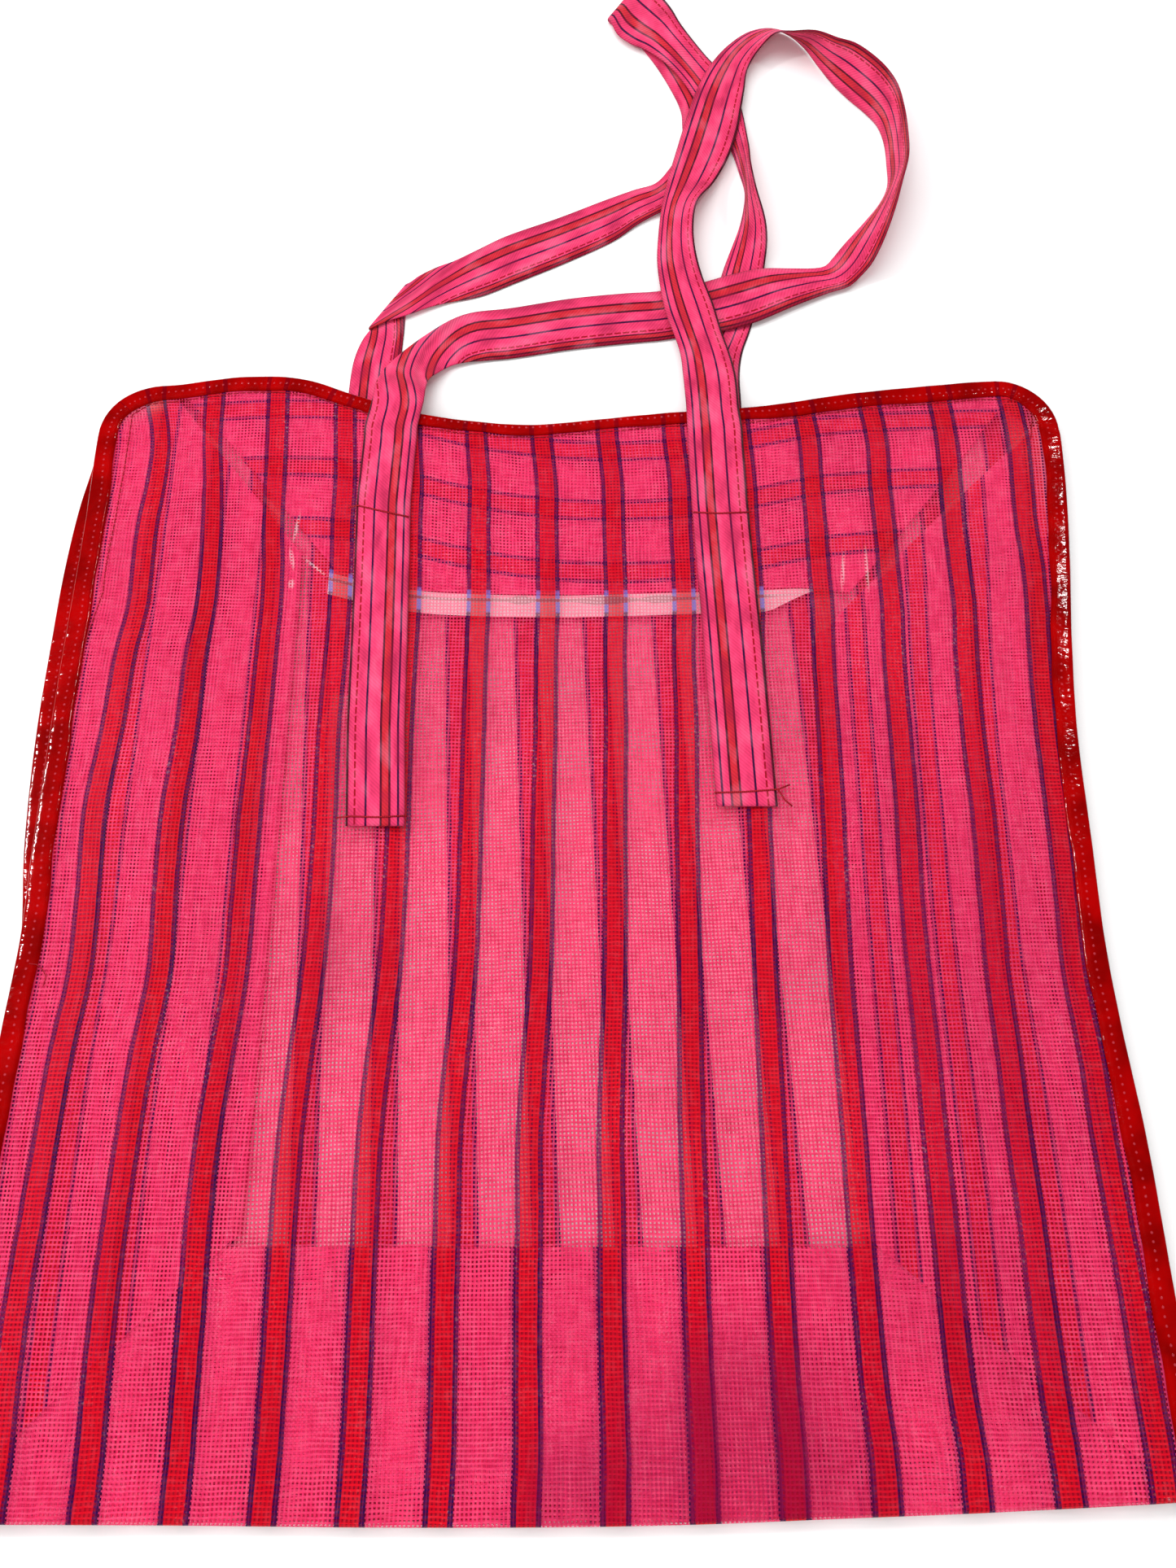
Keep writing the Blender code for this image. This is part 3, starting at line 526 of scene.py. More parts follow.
# From one twist of the sewing thread to the next, and the wave texture's scale for one wave to the unit
PLY_PITCH, WAVE_TO_THE_UNIT = 0.8976, math.pi / 10

# How strongly each pale thing shows on the front, the painted glints, sparkle and patches of painted light
# among them
TAPE_LIGHT, SEAM_LIGHT, GLITTER_LIGHT, GLINT_LIGHT, PAINTED_LIGHT_SHARE = 0.02, 0.02, 0.24, 0.75, 0.35

# Colours inside the weave: its crosswise threads, its painted shade between threads and in the dark patches,
# and the pale colour of the light from below and of painted highlights
WEFT_ON_PINK, WEFT_ON_RED, WEFT_ON_PURPLE = "#FF5C88", "#F41436", "#2E1068"
WEAVE_SHADE, PAINTED_SHADE_TINT = "#6A0424", "#90063C"
THICK_THREADS, THIN_THREADS = "#C4103C", "#FF7E9C"
SHINE_THROUGH = "#FFD4DE"
LINE_ON_TAPE, SEAM_ON_TAPE = "#7868C0", "#8A0020"

# How the threads' unevenness becomes colour: noise at none and at most, amount there, tint
THREAD_TINTS = (
    ((0.5, 0.3, 0.0, 0.32), THICK_THREADS),
    ((0.52, 0.72, 0.0, 0.2), THIN_THREADS),
)

# Colours of a stripe seen through the vinyl and of the needle dots in it
STRIPE_UNDER_VINYL, NEEDLE_DOT = "#4A0014", "#E05868"

# Colours of the straps: a dark red band along a folded edge, partly painted shade on the tube's side, and the
# painted sheen and painted shade of streaks along it
STRAP_CRIMSON, STRAP_PAINTED_SHEEN, STRAP_SHADE = "#A80C30", "#FF9EC0", "#98083A"

# How the streaks of painted sheen and painted shade along the strap become colour: noise at none and at most,
# amount there, tint
STRAP_TINTS = (
    ((0.5, 0.7, 0.0, 0.2), STRAP_PAINTED_SHEEN),
    ((0.5, 0.3, 0.0, 0.6), STRAP_SHADE),
)

# The stripes round the strap's cloth tube: from, to, colour. 0 to 1 is its upper face, 1 to 2 the other
STRAP_BANDS = (
    (0.0, 0.04, "maroon"),
    (0.32, 0.352, "purple"),
    (0.575, 0.61, "maroon"),
    (0.61, 0.72, "red"),
    (0.72, 0.755, "maroon"),
    (0.868, 0.9, "purple"),
    (1.205, 1.24, "maroon"),
    (1.24, 1.36, "red"),
    (1.36, 1.395, "maroon"),
    (1.57, 1.602, "purple"),
    (1.84, 1.865, "maroon"),
    (1.865, 1.925, "red"),
    (1.925, 1.955, "maroon"),
    # The crimson band along the folded edge is partly the strap's own dye and partly painted shade on the
    # tube's side
    (1.955, 2.0, "crimson"),
)
STRAP_SEAMS, STRAP_SEAM_HALF = (0.15, 1.79), 0.016
STRAP_STITCH, STRAP_STITCH_GAP = 4.4, 1.0

# The seam inside the binding on the left and on the right, in plan: x, y
EDGE_SEAM_LEFT = ((-238, 312), (-236.6, 359), (-231.1, 389), (-231.4, 403), (-229.9, 458), (-230, 490))
EDGE_SEAM_RIGHT = ((225.7, 499), (221.3, 473))
EDGE_SEAM_IN, EDGE_SEAM_CORNER = 1.5, 8
SEAM_RISE, STITCH_GAP, STITCH_BOW = 0.2, 0.8, 0.15

# Cross seams over the front strap's left and right sewn ends, with their loose tails: x, y
CROSS_THREAD_WIDE, CROSS_THREAD_RISE = 0.8, 0.75
LEFT_CROSS_SEAMS = (
    ((-116.5, 433.8), (-112, 435), (-99, 431.6), (-87, 428.6)),
    ((-112, 275.6), (-106, 276.3), (-94, 275.9), (-80.5, 276.6)),
)
RIGHT_CROSS_SEAMS = (
    ((51, 431.3), (64, 430.7), (79.5, 431.4)),
    ((56.5, 287.2), (70, 287.6), (85, 288.8), (90.5, 291)),
    ((85, 288.8), (88, 283.6), (91, 280.8)),
)

# A loose end of thread by the left edge: x, y
LOOSE_THREAD_RISE, LOOSE_THREAD_SHARE = 0.9, 0.8
LOOSE_THREAD = ((-238.2, 210.2), (-235, 209.8), (-232, 207.6), (-230.1, 204.5), (-230.6, 200.8))

# How far the binding's row of needle dots lies from its inner edge
NEEDLE_ROW = 4.4

# Sizes of the meshes' cells
CELL = 5.0
STRAP_CELL = 4.0
BINDING_CELL = 3.5
TURN_ROWS = 6
THREAD_SIDES = 5

# The floor, the light all round and the camera, in metres, millimetres of lens and degrees
FLOOR_REACH = 3.0
WORLD_STRENGTH = 0.4
CAMERA_PLACE, CAMERA_TILT = (0.0091, -0.29765, 0.525), 19.95
LENS_LONG, SENSOR_WIDE = 28.02, 36.0

# The lamps: name, place and side in metres, power in watts. Only the small ones glint in the vinyl
GLINTING_LAMP_MOST = 0.5
LAMPS = (
    ("ceiling_light", (-0.4, 0.5, 1.6), 1.8, 23.0),
    ("left_window_light", (-1.2, 0.26, 1.0), 0.12, 6.0),
    ("right_window_light", (0.9, 0.7, 1.2), 0.12, 2.5),
    ("front_light", (-0.2, -1.2, 1.3), 0.8, 8.0),
)


def linear(code):
    """The linear red, green and blue of an sRGB hex colour."""
    values = [int(code[place : place + 2], 16) / 255 for place in (1, 3, 5)]
    return tuple(v / 12.92 if v <= 0.04045 else ((v + 0.055) / 1.055) ** 2.4 for v in values)


def colour_property(name, code, description):
    """A colour that the user can change."""
    return FloatVectorProperty(
        name=name, description=description, default=linear(code), subtype="COLOR", size=3, min=0, max=1
    )


def length_property(name, millimetres, description):
    """A length that the user can change, in metres as Blender keeps it."""
    return FloatProperty(
        name=name, description=description, default=millimetres * METRE, min=0, unit="LENGTH", precision=5
    )


class BagSizes(bpy.types.PropertyGroup):
    """Sizes of the weave, the stripes and the sewing."""

    stripe_pitch: length_property("Stripe Pitch", STRIPE_PITCH, "From one red stripe to the next")
    red_wide: length_property("Red Stripe", 7.5, "Width of a red stripe between its purple lines")
    purple_wide: length_property("Purple Line", 2.1, "Width of the purple line along a red stripe")
    warp_spacing: length_property("Warp Spacing", 1.6775, "From one lengthwise thread to the next")
    weft_spacing: length_property("Weft Spacing", 1.75, "From one crosswise thread to the next")
    vinyl_thick: length_property("Vinyl Thickness", 0.5, "Thickness of the binding's vinyl")
    needle_pitch: length_property("Needle Pitch", 3.4, "From one needle hole in the binding to the next")
    strap_thick: length_property("Strap Thickness", 1.1, "Thickness of the pressed strap")
    twill_pitch: length_property("Twill Pitch", 1.9, "From one slanted rib of the strap's twill to the next")
    stitch_long: length_property("Stitch Length", 2.6, "Length of one stitch")
    thread_wide: length_property("Thread Width", 0.5, "Thickness of the sewing thread")


class BagColours(bpy.types.PropertyGroup):
    """Colours of the cloth, the vinyl, the thread and the floor."""

    mesh_pink: colour_property("Mesh Pink", "#FF3470", "Ground of the mesh")
    mesh_red: colour_property("Mesh Red", "#E4061E", "Broad stripes of the mesh")
    mesh_purple: colour_property("Mesh Purple", "#120248", "Thin lines of the mesh")
    vinyl_red: colour_property("Vinyl Red", "#960102", "Binding")
    strap_pink: colour_property("Strap Pink", "#EE3C6E", "Ground of the straps")
    strap_red: colour_property("Strap Red", "#CC2434", "Stripe of the straps")
    strap_maroon: colour_property("Strap Maroon", "#4A061E", "Lines beside the straps' stripe")
    strap_purple: colour_property("Strap Purple", "#2C0638", "Thin line of the straps")
    thread_red: colour_property("Thread Red", "#A0081C", "Sewing thread")
    tape_white: colour_property("Tape White", "#F6CAD4", "Tape below the closure")
    floor_white: colour_property("Floor White", "#FFFFFF", "Floor")


def smooth_step(value):
    """0 below 0, 1 above 1 and a soft S between them."""
    clipped = np.clip(value, 0.0, 1.0)
    return clipped * clipped * (3 - 2 * clipped)


def curve(t, start, end, start_slope, end_slope):
    """A smooth curve between two values with a slope at each, at a share t of the way."""
    place = (2 * t**3 - 3 * t**2 + 1) * start + (3 * t**2 - 2 * t**3) * end
    return place + (t**3 - 2 * t**2 + t) * start_slope + (t**3 - t**2) * end_slope


def run_along(points):
    """The distance along a line of points, at each of them."""
    return np.concatenate([[0], np.cumsum(np.linalg.norm(np.diff(points, axis=0), axis=1))])


def through(table, column, at):
    """The smooth curve through a table's rows, read at the values in at."""
    rows = np.array(table, float)
    knots, values = rows[:, 0], rows[:, column]
    slopes = np.gradient(values, knots)
    at = np.clip(at, knots[0], knots[-1])
    cell = np.clip(np.searchsorted(knots, at) - 1, 0, len(knots) - 2)
    width = knots[cell + 1] - knots[cell]
    ends = values[cell], values[cell + 1], slopes[cell] * width, slopes[cell + 1] * width
    return curve((at - knots[cell]) / width, *ends)


def side_x(face, side, y):
    """The outer x of the bound edge of the front or the back, on its left or its right."""
    column = 1 + ("left", "right").index(side) + 2 * ("front", "back").index(face)
    return through(SIDES, column, np.asarray(y, float))


def mouth_y(face, x, inset=0.0):
    """The y of the mouth's bound edge, or of a line inside it, with its two rounded corners."""
    x = np.asarray(x, float)
    drop = BACK_MOUTH_DROP if face == "back" else 0.0
    left = side_x(face, "left", SIDES[-1][0]) + inset
    right = side_x(face, "right", SIDES[-1][0]) - inset
    radius = CORNER_RADIUS - inset
    near = np.clip(np.minimum(x - left, right - x), 0, radius)
    arc = radius - np.sqrt(radius**2 - (radius - near) ** 2)
    return through(MOUTH, 1, x) - drop - inset - arc


def between(value, full, none):
    """1 at full and past it, and 0 at none and past it, softly."""
    return smooth_step((value - none) / (full - none))


def lift(x, y):
    """How far the binding and the rear strap raise the layers above the surface."""
    edge = 1 - (
        (1 - between(x, LIFT_LEFT_FULL, LIFT_LEFT_NONE))
        * (1 - between(x, LIFT_RIGHT_FULL, LIFT_RIGHT_NONE))
        * (1 - between(y, LIFT_TOP_FULL, LIFT_TOP_NONE))
    )
    strap = 0.0
    for centre in STRAP_LIFT_CENTRES:
        strap = strap + between(np.abs(x - centre), STRAP_LIFT_FULL, STRAP_LIFT_NONE)
    return LIFT * (edge + strap * between(y, STRAP_LIFT_TOP, STRAP_LIFT_FOOT))


def spread(x, y):
    """1 where inner layers keep the front and back apart, less where they settle together."""
    across = smooth_step((x - SQUASH_LEFT) / SQUASH_REACH) * smooth_step((SQUASH_RIGHT - x) / SQUASH_REACH)
    along = smooth_step((y - SQUASH_BASE) / SQUASH_REACH) * smooth_step((SQUASH_CLOSURE - y) / SQUASH_REACH)
    return 1 - (1 - MIDDLE_SQUASH) * across * along


def folds(table, x, y):
    """The height over the front of the folds in a table."""
    height = np.zeros(np.broadcast(x, y).shape)
    for from_x, from_y, to_x, to_y, rise, half_wide in table:
        along_x, along_y = to_x - from_x, to_y - from_y
        length = math.hypot(along_x, along_y)
        t = np.clip(((x - from_x) * along_x + (y - from_y) * along_y) / length**2, 0, 1)
        away = np.hypot(x - from_x - t * along_x, y - from_y - t * along_y)
        height += rise * np.sin(math.pi * t) * smooth_step(1 - away / (2 * half_wide))
    for inside in (x - LIFT_LEFT_FULL, LIFT_RIGHT_FULL - x, LIFT_TOP_FULL - y):
        height = height * smooth_step(inside / FOLD_FADE)
    return height


def edge_distance(face, x, y):
    """How far a place lies inside the bound edge."""
    sides = np.minimum(x - side_x(face, "left", y), side_x(face, "right", y) - x)
    return np.minimum(sides, mouth_y(face, x) - y)


def tape_top(x):
    """The y of the closure's lower edge."""
    return through(TAPE_EDGE, 1, x)


def tone(x, y):
    """How much painted shade darkens the front and painted light pales it in the listed patches, from -1 to
    1.
    """
    total = np.zeros(np.broadcast(x, y).shape)
    for middle_x, middle_y, half_wide, half_tall, lean, amount in PAINTED_SHADE_AND_LIGHT_PATCHES:
        angle = math.radians(lean)
        across = (x - middle_x) * math.cos(angle) + (y - middle_y) * math.sin(angle)
        along = (y - middle_y) * math.cos(angle) - (x - middle_x) * math.sin(angle)
        total += amount * smooth_step(1.5 - np.hypot(across / half_wide, along / half_tall))
    return total


def ripple(x, y):
    """The small unevenness of loosely lying cloth, from about -1 to 1."""
    first = np.sin(x / 17.0 + 1.3 * np.sin(y / 41.0)) * np.sin(y / 23.0 + 0.7)
    second = np.sin(x / 9.0 - y / 31.0 + 2.1) * np.sin(y / 13.0 + x / 47.0)
    return 0.65 * first + 0.35 * second


def surface_z(layer, x, y):
    """The height of a layer of cloth, with the folds, creases and puckers of the front."""
    face = "front" if layer in ("front", "gusset_upper") else "back"
    inside = edge_distance(face, x, y)
    seam = smooth_step(1 - (inside - SEAM_START) / SEAM_REACH)
    level = LEVELS[layer] + SEAM_PULL.get(layer, 0.0) * seam
    z = lift(x, y) + CLOTH_THICK / 2 + level * LAYER_PITCH * spread(x, y)
    loose = smooth_step((inside - SEAM_START) / SEAM_REACH)
    if layer != "front":
        return z + INNER_RIPPLE_RISE * ripple(x + RIPPLE_SHIFT * LEVELS[layer], y) * loose
    z = z + folds(FRONT_FOLDS, x, y) + folds(FRONT_CREASES, x, y) + FRONT_RIPPLE_RISE * ripple(x, y) * loose
    pucker = np.sin(x / 3.1 + 2 * np.sin(y / 19.0)) + np.sin(y / 3.7 + 2 * np.sin(x / 23.0))
    return z + PUCKER_RISE * pucker * smooth_step(1 - inside / PUCKER_REACH)


def steps(start, end, size):
    """Evenly spaced values from start to end, at most size apart."""
    return np.linspace(start, end, max(2, math.ceil(abs(end - start) / size) + 1))


def laid(layer, plan):
    """Plan points laid at the height of a layer of cloth."""
    return np.concatenate([plan, surface_z(layer, plan[..., 0], plan[..., 1])[..., None]], axis=-1)


def stripe_u(x, y, places=STRIPE_PLACES):
    """The cloth's own crosswise millimetres on the front, which put a stripe at each whole pitch."""
    middles = [through(places, column + 1, y) for column in range(len(STRIPE_NUMBERS))]
    u = STRIPE_NUMBERS[0] * STRIPE_PITCH + (x - middles[0])
    for column in range(len(middles) - 1):
        share = (x - middles[column]) / (middles[column + 1] - middles[column])
        wide = (STRIPE_NUMBERS[column + 1] - STRIPE_NUMBERS[column]) * STRIPE_PITCH
        u = np.where(share > 0, STRIPE_NUMBERS[column] * STRIPE_PITCH + share * wide, u)
    past = x - middles[-1]
    return np.where(past > 0, STRIPE_NUMBERS[-1] * STRIPE_PITCH + past, u)


def mesh_object(name, points, faces, face_uvs, materials, face_materials=None, face_tones=None):
    """An object from millimetre points in the bag's plan, with texture places for each face corner."""
    points = np.array(points, float)
    points[:, :2] -= FOOTPRINT_MIDDLE
    points[:, 2] = np.maximum(points[:, 2], FLOOR_GAP)
    mesh = bpy.data.meshes.new(name)
    mesh.from_pydata((points * METRE).tolist(), [], faces)
    for layer_name, places in (("cloth", face_uvs), ("tone", face_tones)):
        if places is not None:
            layer = mesh.uv_layers.new(name=layer_name)
            layer.data.foreach_set("uv", np.asarray(places, np.float32).ravel())
    for material in materials:
        mesh.materials.append(material)
    if face_materials is not None:
        mesh.polygons.foreach_set("material_index", np.asarray(face_materials, np.int32))
    mesh.shade_smooth()
    piece = bpy.data.objects.new(name, mesh)
    bpy.context.scene.collection.objects.link(piece)
    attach(piece, BODY)
    return piece


def grid_object(name, grid, uv, materials, row_materials=None, tones=None):
    """A sheet through a grid of points, with the cloth's own millimetres as its texture places."""
    rows, columns = grid.shape[:2]
    index = np.arange(rows * columns).reshape(rows, columns)
    quads = np.stack([index[:-1, :-1], index[:-1, 1:], index[1:, 1:], index[1:, :-1]], axis=-1).reshape(-1, 4)
    corners = quads.ravel()
    face_materials = None if row_materials is None else np.repeat(row_materials[:-1], columns - 1)
    face_tones = None if tones is None else tones.reshape(-1, 2)[corners]
    face_uvs = uv.reshape(-1, 2)[corners]
    return mesh_object(
        name, grid.reshape(-1, 3), quads.tolist(), face_uvs, materials, face_materials, face_tones
    )


def tube_object(name, sections, uv, materials, tones=None):
    """A skin through closed sections with the same number of points, with its ends filled."""
    count, around = sections.shape[:2]
    faces, uvs, face_tones = [], [], []
    if tones is None:
        tones = np.zeros((count, 2))
    for section in range(count - 1):
        for corner in range(around):
            first, second = section * around + corner, section * around + (corner + 1) % around
            faces.append((first, second, second + around, first + around))
            uvs += [*uv[section, corner : corner + 2], *uv[section + 1, corner : corner + 2][::-1]]
            face_tones += [tones[section], tones[section], tones[section + 1], tones[section + 1]]
    for section, way in ((0, -1), (count - 1, 1)):
        faces.append(tuple(range(section * around, (section + 1) * around))[::way])
        uvs += list(uv[section, :around])[::way]
        face_tones += [tones[section]] * around
    return mesh_object(name, sections.reshape(-1, 3), faces, uvs, materials, face_tones=face_tones)


# Sockets of the Mix node for colours, and its settings
FACTOR, FIRST, SECOND = 0, 6, 7
COLOUR_MIX = {"output": 2, "data_type": "RGBA"}


def node(tree, kind, inputs=(), output=0, ramp=None, **settings):
    """Adds a node with its settings, sets or links its inputs, and returns one of its outputs.

    A point in the kind stands between the node and its operation.
    """
    kind, _, operation = kind.partition(".")
    added = tree.nodes.new("ShaderNode" + kind)
    if operation:
        settings["operation"] = operation
    for name, value in settings.items():
        setattr(added, name, value)
    if ramp is not None:
        elements = added.color_ramp.elements
        while len(elements) < len(ramp):
            elements.new(0.5)
        for element, (position, colour) in zip(elements, ramp):
            element.position = position
            element.color = (*colour, 1)
    pairs = inputs.items() if isinstance(inputs, dict) else enumerate(inputs)
    for key, value in pairs:
        if isinstance(value, bpy.types.NodeSocket):
            tree.links.new(value, added.inputs[key])
        elif value is not None:
            added.inputs[key].default_value = value
    return added.outputs[output] if added.outputs else None


def new_material(name):
    """An empty node material, and the function that adds a node to it."""
    material = bpy.data.materials.new(name)
    material.use_nodes = True
    material.node_tree.nodes.clear()
    return material, partial(node, material.node_tree)


def finish_material(add, inputs):
    """Ends a material in the one shader that gives its gloss and colour."""
    add("OutputMaterial", (add("BsdfPrincipled", inputs),))


def rgba(colour, gain=1.0):
    """A hex colour or a linear one with its alpha, made lighter or darker."""
    channels = linear(colour) if isinstance(colour, str) else colour
    return (*(min(1.0, channel * gain) for channel in channels), 1)


def to_next_line(add, distance, pitch):
    """0 on each line of a repeating pattern, and 1 halfway to the next."""
    away = add("Math.PINGPONG", (distance, pitch / 2))
    return add("Math.DIVIDE", (away, pitch / 2))


def drawn_out_noise(add, place, sizes, detail):
    """Noise that is drawn out one way, from the size of its patches each way."""
    stretched = add("Mapping", {"Vector": place, "Scale": (1 / sizes[0], 1 / sizes[1], 1.0)})
    return add("TexNoise", {"Vector": stretched, "Scale": 1.0, "Detail": detail})


def woven_mesh(name, sizes, colours, cover, is_front):
    """Woven polyethylene mesh: thin flat tapes in plain weave, open between, with a waxy sheen.

    The real threads are 0.9 to 1.3 mm apart, and they are drawn a little wider apart so that they show.
    The holes are see-through, so the layers beneath and the light floor show between the threads.
    """
    material, add = new_material(name)
    pitch, red_half = sizes.stripe_pitch / METRE, sizes.red_wide / METRE / 2
    line = sizes.purple_wide / METRE
    place = add("UVMap", uv_map="cloth")
    slow = add("TexNoise", {"Vector": place, "Scale": 1 / DRIFT_SIZE, "Detail": 1.0})
    drift = add("Math.SUBTRACT", (slow, 0.5))
    across, along = (add("SeparateXYZ", (place,), output=axis) for axis in (0, 1))
    across = add("Math.MULTIPLY_ADD", (drift, WARP_DRIFT, across))
    along = add("Math.MULTIPLY_ADD", (drift, WEFT_DRIFT, along))

    # The stripes: a red band between two purple lines, each line split by a paler thread
    from_stripe = add("Math.PINGPONG", (across, pitch / 2))
    share = add("Math.DIVIDE", (from_stripe, pitch / 2))
    pink, red, purple = colours.mesh_pink, colours.mesh_red, colours.mesh_purple
    pale_line = tuple(0.8 * a + 0.2 * b for a, b in zip(purple, pink))
    stops = (
        (0.0, red),
        (red_half - 0.1, red),
        (red_half + 0.05, purple),
        (red_half + line * 0.35, purple),
        (red_half + line * 0.5, pale_line),
        (red_half + line * 0.65, purple),
        (red_half + line - 0.05, purple),
        (red_half + line + 0.1, pink),
    )
    base = add("ValToRGB", (share,), ramp=[(distance / (pitch / 2), colour) for distance, colour in stops])
    in_red = add("MapRange", (from_stripe, red_half + 0.1, red_half - 0.2))
    in_stripe = add("MapRange", (from_stripe, red_half + line + 0.1, red_half + line - 0.1))

    # The holes, which are smaller in the denser stripes
    from_warp = to_next_line(add, across, sizes.warp_spacing / METRE)
    from_weft = to_next_line(add, along, sizes.weft_spacing / METRE)
    warp_start = add("Math.MULTIPLY_ADD", (in_stripe, STRIPE_GAP_LATER, WARP_GAP_FROM))
    warp_end = add("Math.ADD", (warp_start, WARP_EDGE))
    warp_gap = add("MapRange", (from_warp, warp_start, warp_end))
    weft_gap = add("MapRange", (from_weft, *WEFT_GAP))
    hole = add("Math.MULTIPLY", (warp_gap, weft_gap))
    thread = add("Math.MULTIPLY_ADD", (in_stripe, STRIPE_EXTRA_COVER, cover))
    fill = add("Math.MULTIPLY_ADD", (in_stripe, *OPEN_IN_HOLES))
    open_share = add("Math.MULTIPLY", (hole, fill))
    alpha = add("Math.SUBTRACT", (thread, open_share))

    # The crosswise threads where they lie on top, and the shade between the threads
    weft_on_top = add("MapRange", (from_weft, *WEFT_ON_TOP))
    weft_share = add("Math.MULTIPLY_ADD", (in_stripe, *WEFT_TINT))
    weft_tint = add("Math.MULTIPLY", (weft_on_top, weft_share))
    weft_colour = rgba(WEFT_ON_PINK)
    for zone, tint in ((in_stripe, WEFT_ON_PURPLE), (in_red, WEFT_ON_RED)):
        weft_colour = add("Mix", {FACTOR: zone, FIRST: weft_colour, SECOND: rgba(tint)}, **COLOUR_MIX)
    between_rows = add("Math.MULTIPLY", (in_stripe, weft_gap))
    dark = add("Math.MULTIPLY", (weft_gap, ROW_SHADE))
    dark = add("Math.MULTIPLY_ADD", (between_rows, STRIPE_ROW_SHADE, dark))
    dark = add("Math.MULTIPLY_ADD", (hole, HOLE_SHADE, dark))
    tints = [(weft_tint, weft_colour), (dark, rgba(WEAVE_SHADE))]

    # Uneven cloth: broad patches, and thick and thin threads both ways, least in the stripes
    patch = add("TexNoise", {"Vector": place, "Scale": 1 / PATCH_SIZE, "Detail": 2.0})
    uneven = add("Math.ADD", (patch, drawn_out_noise(add, place, STREAK_SIZES, 2.0)))
    even = add("Math.MULTIPLY_ADD", (in_stripe, *UNEVEN_SHARE))
    for way in UNEVEN_SIZES:
        threads = drawn_out_noise(add, place, way, 1.0)
        for limits, tint in THREAD_TINTS:
            amount = add("MapRange", (threads, *limits))
            tints.append((add("Math.MULTIPLY", (amount, even)), rgba(tint)))
    for amount, tint in tints:
        base = add("Mix", {FACTOR: amount, FIRST: base, SECOND: tint}, **COLOUR_MIX)
    if is_front:
        base = layered_colour(add, base, in_stripe, in_red, uneven)
    gain = add("MapRange", (uneven, *CLOTH_GAIN))
    base = add("HueSaturation", {"Color": base, "Value": gain})
    height = add("Math.MINIMUM", (from_warp, from_weft))
    height = add("Math.SUBTRACT", (1.0, height))
    bump = add("Bump", {"Strength": 0.5, "Distance": 0.0003, "Height": height})
    finish = {"Roughness": 0.42, "IOR": 1.51, "Specular IOR Level": 0.12}
    finish_material(add, {"Base Color": base, "Alpha": alpha, "Normal": bump, **finish})
    return material


def seam_line(add, spot, seam, half_wide):
    """1 along a straight seam in the bag's plan, and 0 beside it."""
    from_x, from_y, to_x, to_y = seam
    length = math.hypot(to_x - from_x, to_y - from_y)
    normal = ((from_y - to_y) / length, (to_x - from_x) / length, 0.0)
    middle_x, middle_y = FOOTPRINT_MIDDLE
    offset = (normal[0] * (from_x - middle_x) + normal[1] * (from_y - middle_y)) * METRE
    reach = add("VectorMath.DOT_PRODUCT", (spot, normal), output=1)
    return add("Math.COMPARE", (reach, offset, half_wide * METRE))


def glint_mask(add, spot, glint):
    """1 in the middle of a small leaning ellipse in the bag's plan, and 0 outside it."""
    x, y, half_wide, half_tall, lean = glint
    settings = {
        "Vector": spot,
        "Location": ((x - FOOTPRINT_MIDDLE[0]) * METRE, (y - FOOTPRINT_MIDDLE[1]) * METRE, 0.0),
        "Rotation": (0.0, 0.0, math.radians(lean)),
        "Scale": (half_wide * METRE, half_tall * METRE, 1.0),
    }
    inside = add("Mapping", settings, vector_type="TEXTURE")
    away = add("VectorMath.LENGTH", (inside,), output=1)
    return add("MapRange", (away, 1.0, 0.4))


